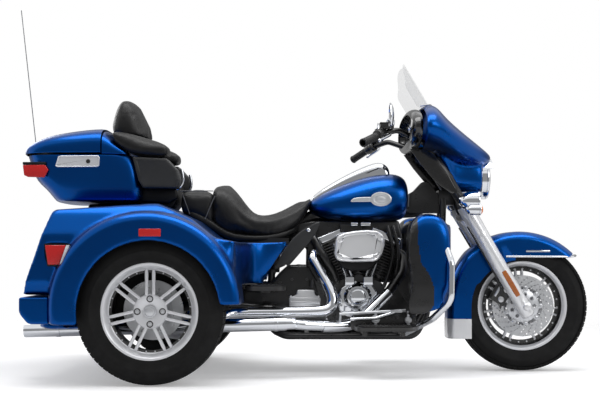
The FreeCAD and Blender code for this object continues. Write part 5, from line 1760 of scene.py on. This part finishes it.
@dataclass
class RearBody:
    """The painted body over the rear wheels, with black wheel wells, door and valance."""

    voxel: float = 0.0085
    axle: Point = (-0.625, 0.542, 0.316)
    well_radius: float = 0.372
    well_inner: float = 0.402
    well_outer: float = 0.6745
    trunk_half: float = 0.404
    flank_start: float = -0.3
    flank_rounds: int = 60
    plate_pad: Point = (0.124, 0.526, 0.645)
    door_slope: tuple[float, float] = (-1.301, 0.336)

    def is_lining(self, place: Vector, normal: Vector) -> bool:
        """Whether a face belongs to a wheel well or to the inside of the trunk.

        Args:
            place: The middle of the face.
            normal: The face's normal.

        Returns:
            Whether it does.
        """
        across, up = place.x - self.axle[0], place.z - self.axle[2]
        if self.well_inner < abs(place.y) < self.well_outer and math.hypot(across, up) < self.well_radius:
            return abs(normal.y) > 0.6 or normal.dot(Vector((across, 0, up))) < 0
        inside = abs(place.y) < self.trunk_half and -1.13 < place.x < -0.49 and 0.4 < place.z < 0.757
        return inside and normal.dot(Vector((place.x + 0.8, place.y * 0.6, (place.z - 0.58) * 2))) < 0

    def is_plate_pad(self, place: Vector, normal: Vector) -> bool:
        """Whether a face belongs to the pad that carries the number plate.

        Args:
            place: The middle of the face.
            normal: The face's normal; not used.

        Returns:
            Whether it does.
        """
        half, low, high = self.plate_pad
        start, slope = self.door_slope
        return abs(place.y) < half and low < place.z < high and place.x < start + slope * place.z

    def is_flank(self, place: Vector, normal: Vector) -> bool:
        """Whether a face belongs to the upright flanks ahead of the wheels."""
        return place.x > self.flank_start and abs(normal.z) < 0.35 and place.z > 0.34 and 0.2 < abs(place.y) < 0.66

    def build(self) -> None:
        """Smooths the body, the door and the valance from the solids' own forms, and adds the door's fittings."""
        body = Piece.copy_of("rear_body_shell", "rear_body").remesh(self.voxel, 9)
        body.faces(self.is_flank, lambda: bpy.ops.mesh.vertices_smooth(factor=0.5, repeat=self.flank_rounds,
                                                                       wait_for_input=False))
        body.done(PAINT, "chassis", "rear_body", degrees=60).second(BLACK_PLASTIC, self.is_lining)
        panel = Piece.copy_of("trunk_door_panel", "trunk_door").remesh(0.005, 4)
        panel.done(PAINT, "door", "trunk_door", degrees=50).second(BLACK_PLASTIC, self.is_plate_pad)
        hood = Piece.block("plate_lamp_hood", (-1.16, -0.046, 0.633), (-1.08, 0.046, 0.651), 0.005, 3)
        hood.done(BLACK_PLASTIC, "door")
        lock = Piece.turned("door_lock", mm((0, 10), (6, 10), (6.5, 8), (11, 8), (13.5, 6), (14, 0), (14, -12),
                                            (0, -12)), steps=32, axis="Z")
        lock.along((-1.0722, 0, 0.674), (-2.0205, 0, 0.9926)).done(CHROME, "door", degrees=40)
        valance = Piece.copy_of("rear_valance", "rear_bumper").remesh(0.006, 6)
        valance.done(PAINT, "chassis", "rear_bumper", degrees=50)


@dataclass
class TopCase:
    """The luggage case: a tapered tub, and a domed lid with a fixed cowl ahead of it."""

    split: float = -0.893
    gap: float = 0.003
    wall: float = 0.007
    mouth: float = 1.0
    middle: Point = (-0.975, 0.0, 0.98)
    tub: Form = sections(
        (795, -1120, -722, 255), (800, -1130, -715, 266), (825, -1150, -712, 277), (855, -1174, -711, 284),
        (880, -1204, -711, 287), (910, -1228, -712, 289), (960, -1245, -720, 290), (1000, -1258, -744, 290),
        (1008, -1261, -755, 289), (1010, -1256, -766, 284), shape=(0.3, 9, 3.2))
    crown: Form = sections(*((along, 1015.5, top, half) for along, top, half in (
        (-1266, 1034, 150), (-1262, 1048, 190), (-1245, 1062, 232), (-1210, 1082, 262), (-1156, 1106, 282),
        (-1080, 1124, 290), (-972, 1139, 292), (-905, 1143, 292), (-885, 1138, 292), (-840, 1094, 292),
        (-790, 1040, 291), (-770, 1020, 290))), shape=(0.14, 3.4, 12))

    def is_lining(self, place: Vector, normal: Vector) -> bool:
        """Whether a face looks into the case."""
        return normal.dot(place - Vector(self.middle)) < 0

    def build(self) -> None:
        """Makes the tub with its cowl, and the lid."""
        cowl = Piece.loft("cowl", self.crown, count=40).cut((self.split + self.gap, 0, 0), (-1, 0, 0))
        tub = Piece.loft("top_case_tub", self.tub, axis="Z", count=40)
        tub.drop(lambda place, normal: normal.z > 0.8 and place.z > self.mouth).thick(self.wall)
        tub.join(cowl.move((0, 0, -0.006))).done(PAINT, "chassis", "top_case", degrees=40)
        tub.second(BLACK_PLASTIC, self.is_lining)
        lid = Piece.loft("top_case_lid_shell", self.crown, count=40).cut((self.split - self.gap, 0, 0), (1, 0, 0))
        lid.drop(lambda place, normal: normal.z < -0.8).thick(0.006)
        lid.done(PAINT, "lid", "top_case_lid", degrees=40).second(BLACK_PLASTIC, self.is_lining)


# ---- tank and seats


@dataclass
class Tank:
    """The tear-shaped fuel tank with its bright console and plain side bars."""

    shell: Form = sections(
        (46, 772, 796, 34), (60, 752, 812, 62), (95, 730, 834, 96, 0.5, 2.2, 2.6), (150, 717, 864, 124, 0.48, 2.2, 2.8),
        (220, 712, 894, 146, 0.46, 2.2, 3), (300, 710, 922, 159, 0.45, 2.2, 3), (370, 710, 938, 164, 0.45, 2.2, 3),
        (430, 712, 941, 163, 0.45, 2.2, 2.8), (475, 716, 936, 158, 0.46, 2.2, 2.6),
        (504, 728, 918, 146, 0.48, 2.2, 2.4), (515.5, 752, 892, 124, 0.5, 2.2, 2.2),
        (519, 790, 850, 85, 0.5, 2.2, 2.2), shape=(0.5, 2.2, 2.4))
    console: Form = sections(
        (62, 800, 822, 20), (85, 806, 848, 30), (150, 836, 890, 38), (240, 872, 942, 45), (330, 895, 982, 52),
        (385, 900, 998, 55), (420, 905, 984, 52), (438, 905, 956, 44), shape=(0.4, 3, 5))

    def build(self) -> None:
        """Makes the tank, the console and the side bars."""
        shell = Piece.loft("fuel_tank_shell", self.shell, count=40, levels=2)
        shell.done(PAINT, "chassis", "fuel_tank", degrees=60)
        console = Piece.loft("tank_console_cover", self.console, count=24, levels=2)
        console.done(CHROME, "chassis", "tank_console", degrees=60)
        bar = Piece.loft("tank_side_bars", sections((243, 800, 804, 3), (250, 799, 812, 4.5), (264, 799, 822, 5.5),
                                                    (350, 799, 823, 6.5), (360, 801, 821, 3)), count=16)
        emblem = Piece.turned("emblem", mm((0, 169), (12, 169), (14, 167.5), (21, 167.5), (23, 169), (30, 169),
                                           (33, 167), (33, 158), (0, 158)), steps=48)
        emblem.warp(Matrix.Translation((0.384, 0, 0.812)) @ Matrix.Scale(1.5, 4, (1, 0, 0)))
        bar.move((0, 0.16, 0)).join(emblem).both().done(SATIN, "chassis", degrees=40)


@dataclass
class Cushion:
    """A stuffed pad: a lofted form blown up as cloth, then smoothed."""

    name: str
    form: Form
    nodes: tuple[str, ...] = ()
    axis: str = "X"
    fill: float = 0.8
    voxel: float = 0.006
    limit: float = 0.012
    shift: Point = ORIGIN
    frames: int = 20

    def inflate(self, pad: Piece) -> None:
        """Blows a closed pad up as cloth and caps how far each point may move.

        Args:
            pad: The closed form.
        """
        pad.modifier("REMESH", mode="VOXEL", voxel_size=self.voxel)
        start = [vertex.co.copy() for vertex in pad.body.data.vertices]
        pad.use()
        cloth = pad.body.modifiers.new("cloth", "CLOTH")
        cloth.settings.use_pressure = True
        cloth.settings.uniform_pressure_force = 4.0
        cloth.settings.effector_weights.gravity = 0.0
        cloth.settings.quality = 4
        cloth.point_cache.frame_start, cloth.point_cache.frame_end = 1, self.frames
        for number in range(1, self.frames + 1):
            bpy.context.scene.frame_set(number)
        bpy.ops.object.modifier_apply(modifier=cloth.name)
        for vertex, rest in zip(pad.body.data.vertices, start):
            shift = vertex.co - rest
            if shift.length > self.limit:
                vertex.co = rest + shift * (self.limit / shift.length)
        bpy.context.scene.frame_set(1)

    def build(self) -> None:
        """Makes the pad."""
        pad = Piece.loft(self.name, self.form, axis=self.axis, count=36).move(self.shift)
        self.inflate(pad)
        pad.modifier("SMOOTH", factor=0.5, iterations=6).done(LEATHER, "chassis", *self.nodes, degrees=60)


@dataclass
class SeatTrim:
    """The light piping on the seats' sides and the black pan under them."""

    lines: tuple[tuple[Point, ...], ...] = mm(
        ((-536, 170, 832), (-524, 177.5, 800), (-503, 176.5, 742)),
        ((-386, 174, 826), (-400, 178.5, 798), (-432, 177.5, 718)),
        ((-546, 172, 849.5), (-470, 174.5, 850.5), (-394, 172, 849.5)))
    pan: Form = sections(
        (10, 664, 706, 90), (-50, 628, 668, 140), (-140, 606, 648, 172), (-250, 604, 650, 180), (-335, 612, 668, 180),
        (-400, 655, 725, 178), (-470, 692, 760, 176), (-552, 738, 800, 170))

    def build(self) -> None:
        """Makes the piping and the pan."""
        first, *others = (Piece.pipe("seat_piping_lines", line, 0.0022) for line in self.lines)
        first.join(*others).both().done(PIPING, "chassis")
        Piece.loft("seat_pan_skirt", self.pan, count=24).done(BLACK_PLASTIC, "chassis", degrees=50)


def seats() -> list[Cushion]:
    """The rider's and the passenger's pads.

    Returns:
        The pads, in order.
    """
    rider = sections(
        (56, 800, 836, 50, 0.5, 2.6, 3), (35, 768, 824, 74, 0.5, 2.6, 3), (0, 700, 796, 106, 0.5, 2.8, 3.5),
        (-50, 650, 764, 140, 0.55, 3, 4), (-110, 638, 734, 168, 0.6, 3.2, 5), (-170, 637, 724, 180, 0.6, 3.4, 5),
        (-220, 637, 738, 184, 0.6, 3.4, 5), (-262, 637, 790, 184, 0.6, 3.2, 5), (-300, 638, 848, 183, 0.55, 3, 5),
        (-340, 642, 884, 181, 0.5, 3, 5), (-366, 652, 892, 179), (-386, 672, 886, 176), (-393, 692, 868, 168),
        shape=(0.5, 3, 4))
    passenger = sections(
        (-394, 690, 846, 170), (-404, 676, 848, 174), (-450, 704, 849, 176), (-500, 728, 849, 176),
        (-536, 745, 848, 175), (-548, 754, 838, 168, 0.5, 4, 4), shape=(0.5, 5, 5))
    return [Cushion("rider_seat_pad", rider, ("rider_seat",)),
            Cushion("passenger_seat_pad", passenger, ("passenger_seat",))]


# ---- rear details


@dataclass
class RearLamps:
    """Tail lamps with a clear stripe and dark surround, side markers and the case's own lamps."""

    lens: Outline = mm((-1062, 596), (-974, 596), (-1002, 514), (-1050, 514))
    stripe: Outline = mm((-973, 596), (-958, 596), (-988, 514), (-1001, 514))
    rim: Outline = mm((-1068, 602), (-950, 602), (-984, 507), (-1054, 507))
    case_lamp: Outline = mm((-1222, 906), (-1240, 914), (-1246, 960), (-1146, 962), (-1130, 938), (-1148, 904))

    def build(self) -> None:
        """Makes the lenses and their surrounds on both sides."""
        tail = Piece.plate("tail_lamp_lenses", self.lens, -0.646, -0.596, 0.004)
        tail.join(Piece.block("side_marker", (-0.662, -0.696, 0.632), (-0.57, -0.686, 0.664), 0.003),
                  Piece.plate("case_lamp", self.case_lamp, -0.297, -0.286, 0.003))
        tail.both().done(RED_LENS, "chassis", "rear_lamps")
        Piece.plate("tail_lamp_stripes", self.stripe, -0.647, -0.596, 0.002, 2).both().done(WHITE_LENS, "chassis")
        rim = Piece.plate("lamp_surrounds", self.rim, -0.641, -0.6, 0.003, 2)
        brow = Piece.block("brow", (-1.246, -0.297, 0.961), (-1.142, -0.284, 0.974), 0.002)
        rim.join(brow).both().done(BLACK_PLASTIC, "chassis")


@dataclass
class CaseTrim:
    """The case's latches and locks."""

    plate: Outline = mm((-1099, 956), (-1085, 1000), (-1070, 1003), (-905, 1004), (-898, 995), (-900, 955),
                        (-910, 951), (-1090, 951))
    face: float = -0.298

    def is_face(self, place: Vector, normal: Vector) -> bool:
        """Whether a face is the latch's flat outer one."""
        return normal.y < -0.98 and place.y < self.face

    def build(self) -> None:
        """Makes the latch plates with their sunk panels, and the lock barrels."""
        latch = Piece.plate("case_latches", self.plate, -0.299, -0.288, 0.003)
        latch.inset(self.is_face, 0.008).inset(self.is_face, 0.002, -0.003)
        latch.both().done(BRIGHT_ALLOY, "chassis")
        lock = Piece.turned("case_locks", mm((0, -300.5), (3, -300.5), (3.5, -299.5), (8, -300), (9.5, -298),
                                             (9.5, -292), (0, -292)), (-0.95, 0, 0.977), 28)
        lock.both().done(BLACK_ENAMEL, "chassis")


@dataclass
class Backrest:
    """The passenger's back cushion, arm rests and the speaker pods under them."""

    pod: Outline = mm((-753, 999), (-597, 992), (-549, 941), (-536, 894), (-549, 856), (-705, 856), (-726, 893))
    rail: tuple[Point, ...] = mm((-640, -190, 846), (-575, -189, 848), (-542, -188, 868), (-528, -188, 905),
                                 (-540, -188, 950))
    stay: Outline = mm((-980, 790), (-740, 796), (-744, 1000), (-640, 1010), (-570, 940), (-566, 800), (-590, 768),
                       (-700, 760), (-980, 756))
    wing: Outline = mm((-748, 862), (-560, 860), (-556, 815), (-600, 790), (-748, 800))
    back: Form = sections(
        (1100, -862, -700, 146), (1112, -872, -700, 152), (1148, -884, -720, 153), (1200, -868, -744, 148),
        (1250, -852, -768, 132), (1275, -842, -782, 108), (1286, -828, -800, 80), shape=(0.5, 3, 3))
    arm: Form = sections(
        (-850, 1090, 1112, 62), (-836, 1066, 1118, 68), (-780, 1020, 1106, 73), (-720, 1003, 1088, 73),
        (-660, 1000, 1070, 73), (-620, 998, 1060, 72), (-598, 1002, 1050, 68), (-590, 1010, 1040, 60))

    def build(self) -> None:
        """Makes the pods, rails, stay and pads."""
        pods = Piece.plate("speaker_pods", self.pod, -0.286, -0.19, 0.008, 4)
        pods.inset(lambda place, normal: normal.y < -0.98, 0.01, -0.002).both().done(GREY_PLASTIC, "chassis")
        Piece.pipe("arm_rails", self.rail, 0.0065, count=6).both().done(CHROME, "chassis")
        stay = Piece.plate("backrest_stay", self.stay, -0.15, 0.15, 0.012)
        for _, side in SIDES:
            wing = Piece.plate("wing", self.wing, 0.14, 0.205, 0.01)
            stay.join(wing if side == LEFT else wing.flipped())
        stay.done(BLACK_PLASTIC, "chassis")
        Cushion("back_cushion", self.back, ("backrest", "case_base"), axis="Z").build()
        for word, side in SIDES:
            Cushion(f"{word}_arm_pad", self.arm, shift=(0, side * 0.219, 0), limit=0.006).build()


# ---- engine


@dataclass
class Engine:
    """The leaning twin: finned barrels, bright covers, pushrod tubes, air cleaner and gearbox covers."""

    crank: Point = (0.285, 0.0, 0.336)
    lean: float = 23.0
    fin_start: float = 0.482
    fin_pitch: float = 0.0135
    fin_half: float = 0.083
    fin_thick: float = 0.0045
    fin_count: int = 13
    head_level: float = 0.65
    timer: Point = (0.279, 0.0, 0.356)
    clutch: Point = (0.035, 0.0, 0.332)
    cleaner: Outline = mm(
        (166, 560), (172, 622), (184, 644), (214, 656), (262, 664), (318, 668), (366, 664), (388, 650), (398, 628),
        (397, 600), (386, 560), (370, 532), (350, 522), (250, 520), (190, 524), (172, 536))
    tray: Outline = mm((178, 530), (372, 530), (352, 500), (318, 480), (240, 478), (200, 494))
    cam_case: Outline = mm(
        (182, 330), (190, 290), (225, 262), (300, 252), (352, 272), (378, 318), (376, 372), (350, 412), (300, 428),
        (240, 424), (200, 398), (184, 366))
    primary: Outline = mm(
        (-74, 330), (-60, 272), (-10, 236), (60, 222), (200, 222), (320, 228), (372, 258), (396, 320), (386, 386),
        (346, 430), (280, 440), (150, 436), (60, 440), (-30, 424), (-68, 384))
    hatch: Outline = mm((190, 296), (230, 270), (290, 270), (328, 296), (332, 340), (306, 376), (246, 384), (200, 360))
    gearbox: Outline = mm((-42, 300), (102, 300), (104, 352), (78, 366), (74, 390), (-4, 390), (-10, 366), (-44, 352))
    manifold: Outline = mm(
        (48, 430), (36, 500), (38, 586), (-84, 606), (-70, 668), (0, 706), (90, 716), (478, 716), (494, 640),
        (494, 500), (478, 420))
    battery: Outline = mm((-262, 300), (-262, 400), (-132, 420), (-90, 468), (-50, 504), (46, 506), (90, 430),
                          (108, 300))
    horn: Form = sections((252, 520, 640, 6), (262, 508, 656, 22), (285, 500, 664, 28), (308, 508, 656, 22),
                          (318, 520, 640, 6), shape=(0.6, 3, 3))

    @staticmethod
    def screw(place: Point, height: float, radius: float, tip: float) -> Piece:
        """Makes a screw's head that stands out from a place along Y."""
        return Piece.rod("screw", place, (place[0], place[1] + height, place[2]), radius, tip, 12)

    def barrels(self) -> Piece:
        """Stacks the fins round a core, leans the stack back, and adds its mirror image ahead.

        Returns:
            The piece.
        """
        x, _, _ = self.crank
        w = self.fin_half
        fin = Piece.block("cylinder_fins", (x - w, -w, self.fin_start), (x + w, w, self.fin_start + self.fin_thick))
        fin.modifier("BEVEL", width=0.022, segments=4, limit_method="ANGLE", angle_limit=0.9)
        fin.repeat(self.fin_count, (0, 0, self.fin_pitch))
        core = Piece.rod("core", (x, 0, 0.466), (x, 0, self.head_level), 0.066, count=40)
        neck = Piece.rod("base_flange", (x, 0, 0.462), (x, 0, 0.474), 0.078, count=40, bevel=0.002)
        fin.join(core, neck).turn(-self.lean, "Y", self.crank).cut((x - 0.003, 0, 0), (1, 0, 0))
        return fin.facing(x)

    def rocker_covers(self) -> Piece:
        """Makes the stepped covers over the valves, with their screws.

        Returns:
            The piece.
        """
        x, top = self.crank[0], self.head_level
        cover = Piece.block("rocker_cover_castings", (x - 0.074, -0.073, top), (x + 0.074, 0.073, top + 0.018))
        cover.inset(lambda place, normal: normal.z > 0.9, 0.01)
        cover.extrude(lambda place, normal: normal.z > 0.9 and abs(place.x - x) < 0.03, (0, 0, 0.017))
        cover.modifier("BEVEL", width=0.006, segments=4, limit_method="ANGLE", angle_limit=0.5)
        for along in (-0.062, 0.062):
            for side in (-0.062, 0.0, 0.062):
                cover.join(Piece.rod("screw", (x + along, side, top + 0.016), (x + along, side, top + 0.024), 0.0062,
                                     0.0056, 12))
        return cover.turn(-self.lean, "Y", self.crank).facing(x)

    def pushrods(self) -> Piece:
        """Makes the four bright tubes, with collars, and the two lifter blocks below them.

        Returns:
            The piece.
        """
        x, _, _ = self.crank
        blocks = []
        for _, side in SIDES:
            middle = x + side * 0.044
            block = Piece.block("pushrod_tubes", (middle - 0.023, -0.115, 0.41), (middle + 0.023, -0.077, 0.452), 0.004)
            for offset in (0.03, 0.058):
                foot = Vector((x + side * offset, -0.097, 0.448))
                head = Vector((x + side * (offset + 0.058), -0.09, 0.606))
                lower = foot.lerp(head, 0.5)
                block.join(Piece.rod("tube", foot, head, 0.0072), Piece.rod("cover", foot, lower, 0.0092, 0.0086),
                           Piece.rod("collar", foot, foot.lerp(head, 0.07), 0.0125, 0.0108),
                           Piece.rod("cap", lower - (head - foot) * 0.03, lower, 0.0108))
            blocks.append(block)
        return blocks[0].join(blocks[1])

    def cam_cover(self) -> Piece:
        """Makes the cam case with its round, ringed cover and screws.

        Returns:
            The piece.
        """
        x, _, z = self.timer
        case = Piece.plate("engine_bright_covers", self.cam_case, -0.112, -0.07, 0.009, 4)
        dome = Piece.turned("timer_cover", mm(
            (0, -144), (30, -143), (34, -141), (36, -136), (41, -136), (43, -140), (50, -139), (56, -132), (62, -121),
            (66, -110), (0, -105)), self.timer)
        screw = self.screw((x + 0.053, -0.128, z), -0.014, 0.0052, 0.0046)
        rim = self.screw((x + 0.082, -0.106, z - 0.02), -0.011, 0.0058, 0.005)
        return case.join(dome, screw.round_about(5, "Y", self.timer), rim.round_about(7, "Y", (x, 0, z - 0.012)))

    def primary_cover(self) -> Piece:
        """Makes the left side cover with its round clutch cover and oval hatch.

        Returns:
            The piece.
        """
        case = Piece.plate("primary_cover", self.primary, 0.126, 0.196, 0.018, 5)
        derby = Piece.turned("clutch_cover", mm((0, 206), (50, 204.5), (56, 201), (62, 201), (68, 203), (74, 199),
                                                (76, 190), (0, 190)), self.clutch)
        screw = self.screw((0.1, 0.198, 0.332), 0.009, 0.005, 0.0044).round_about(5, "Y", self.clutch)
        return case.join(derby, screw, Piece.plate("hatch", self.hatch, 0.19, 0.204, 0.005))

    def gearbox_cover(self) -> Piece:
        """Makes the ribbed gearbox side cover.

        Returns:
            The piece.
        """
        cover = Piece.plate("gearbox_cover", self.gearbox, -0.136, -0.095, 0.005)
        for level in (0.312, 0.33, 0.348):
            cover.join(Piece.block("rib", (-0.036, -0.141, level), (0.096, -0.134, level + 0.006), 0.002))
        screws = mm((-34, 358), (94, 358), (2, 381), (66, 381))
        return cover.join(*(self.screw((x, -0.134, z), -0.009, 0.006, 0.0052) for x, z in screws))

    def air_cleaner(self) -> None:
        """Makes the pillowed cover with its raised panel, and the dark tray under it."""
        def is_face(place: Vector, normal: Vector) -> bool:
            """Whether a face is the cover's flat outer one."""
            return normal.y < -0.98 and place.y < -0.22

        cover = Piece.plate("air_cleaner_cover", self.cleaner, -0.228, -0.118, 0.026, 6)
        cover.inset(is_face, 0.012).inset(is_face, 0.004, -0.004)
        cover.done(BRIGHT_ALLOY, "chassis", "air_cleaner", degrees=40)
        tray = Piece.plate("air_cleaner_tray", self.tray, -0.205, -0.1, 0.012, 4)
        tray.done(BLACK_PLASTIC, "chassis", degrees=40)

    def clutter(self) -> Piece:
        """Makes the small black and bright things round the crankcase: filter, sensors, brackets.

        Returns:
            The piece.
        """
        can = Piece.rod("oil_filter", (0.405, 0, 0.3), (0.5, 0, 0.288), 0.04, count=32, bevel=0.006)
        plug = Piece.rod("plug", (0.15, -0.102, 0.462), (0.118, -0.12, 0.47), 0.012, 0.009)
        coil = Piece.block("coil", (0.196, -0.085, 0.66), (0.3, -0.045, 0.7), 0.006)
        clips = [Piece.block("clip", (start, -0.118, 0.688), (end, -0.086, 0.706), 0.005)
                 for start, end in ((0.246, 0.28), (0.292, 0.34))]
        clips[0].join(clips[1]).done(CHROME, "chassis")
        return can.join(plug, coil, Piece.rod("dipstick", (0.066, -0.118, 0.4), (0.066, -0.118, 0.436), 0.014, 0.011))

    def core(self) -> Piece:
        """Makes the black masses behind the bright covers: manifold, battery box, hoses and oil lines.

        Returns:
            The piece.
        """
        core = Piece.plate("engine_black_core", self.manifold, -0.05, 0.05, 0.01)
        battery = Piece.plate("battery", self.battery, -0.098, 0.098, 0.014, 4)
        hose = Piece.pipe("hose", mm((66, -94, 640), (82, -118, 606), (122, -134, 540), (164, -124, 470),
                                     (178, -104, 420)), 0.0205, count=8)
        lines = [Piece.pipe("line", ((0.42, -0.09, 0.69), (0.446, -0.1, 0.6), (0.44, -0.11, 0.5 - drop),
                                     (0.4, -0.11, 0.4 - drop)), 0.009, count=6) for drop in (0.0, 0.03)]
        lines[1].move((0.026, 0.004, 0))
        for x, z in mm((-86, 424), (-30, 438), (40, 438), (76, 420)):
            core.join(self.screw((x, -0.096, z), -0.008, 0.0068, 0.006))
        return core.join(battery, hose, *lines)

    def build(self) -> None:
        """Makes the whole engine."""
        self.barrels().done(BLACK_ENAMEL, "chassis", "cylinders", degrees=30)
        self.rocker_covers().done(CHROME, "chassis", "rocker_covers", degrees=40)
        horn = Piece.loft("horn_cover", self.horn, count=20).move((0, 0.118, 0))
        covers = self.cam_cover().join(self.pushrods(), self.primary_cover(), horn)
        covers.done(CHROME, "chassis", "engine_covers", degrees=35)
        self.gearbox_cover().done(BRIGHT_ALLOY, "chassis", degrees=35)
        self.core().done(BLACK_ENAMEL, "chassis", degrees=35)
        self.air_cleaner()
        self.clutter().done(BLACK_ENAMEL, "chassis", degrees=35)


@dataclass
class Exhaust:
    """Heat shields, clamps and silencer ends on the exhaust."""

    right: tuple[Point, Point] = ((-0.06, -0.348, 0.246), (-1.222, -0.348, 0.215))
    left: tuple[Point, Point] = ((-0.33, 0.348, 0.246), (-1.222, 0.348, 0.215))
    radius: float = 0.029
    shields: tuple[tuple[Point, ...], ...] = mm(
        ((100, -162, 480), (160, -206, 385), (156, -226, 300), (60, -240, 292), (-80, -245, 291), (-230, -255, 290)),
        ((420, -146, 378), (330, -180, 290), (262, -214, 240), (196, -248, 226), (110, -282, 229)))

    def silencer(self, start: Point, end: Point) -> Piece:
        """Dresses one silencer with a taper, three bands and a rolled end.

        Args:
            start: Where it starts.
            end: Where it ends.

        Returns:
            The piece.
        """
        length = (Vector(end) - Vector(start)).length
        r = self.radius
        sleeve = Piece.turned("silencer_sleeves", (
            (0.023, -0.05), (0.026, -0.046), (r - 0.002, -0.012), (r + 0.0015, 0.0), (r + 0.0015, length - 0.006),
            (r + 0.0005, length + 0.0005), (r - 0.002, length + 0.0005), (r - 0.004, length - 0.12),
            (0.0, length - 0.12), (0.0, 0.02), (0.019, -0.05)), steps=48, axis="Z")
        band = ((r + 0.001, 0.0), (r + 0.004, 0.001), (r + 0.004, 0.017), (r + 0.001, 0.018))
        for level in (0.03, length * 0.52, length - 0.16):
            sleeve.join(Piece.turned("band", band, (0, 0, level), 48, axis="Z"))
        return sleeve.along(start, end)

    def build(self) -> None:
        """Makes the bright sleeves and shields, and the chrome pipes, whose dark ends at the engine are painted shade
        and painted reflection.
        """
        self.silencer(*self.right).join(self.silencer(*self.left)).done(CHROME, "chassis", degrees=40)
        rear, front = (Piece.pipe("header_shields", path, 0.0262, count=6) for path in self.shields)
        rear.join(front).done(CHROME, "chassis", degrees=50)
        pipes = Piece.copy_of("exhaust_pipes", "exhaust").done(CHROME, "chassis", "exhaust", degrees=50)
        # The chrome headers' upper ends by the front cylinder take black enamel: painted shade and painted reflection.
        pipes.second(BLACK_ENAMEL, lambda place, normal: place.x > 0.38 and place.z > 0.372)


def main() -> None:
    """Builds the studio and every sub-assembly in order."""
    logging.basicConfig(level=logging.INFO, format="%(message)s")
    Studio().build()
    finish_nodes()
    for assembly in (RearWheels(), FrontWheel(), Fairing(), FrontFender(), Dash(), Screen(), Headlamp(), LampBar(),
                     Fork(), Bars(), LegShields(), RearBody(), TopCase(), Tank(), *seats(), SeatTrim(), RearLamps(),
                     CaseTrim(), Backrest(), Engine(), Exhaust(), Boards(), SideCovers()):
        log.info("building %s", type(assembly).__name__)
        assembly.build()


if __name__ == "__main__":
    main()
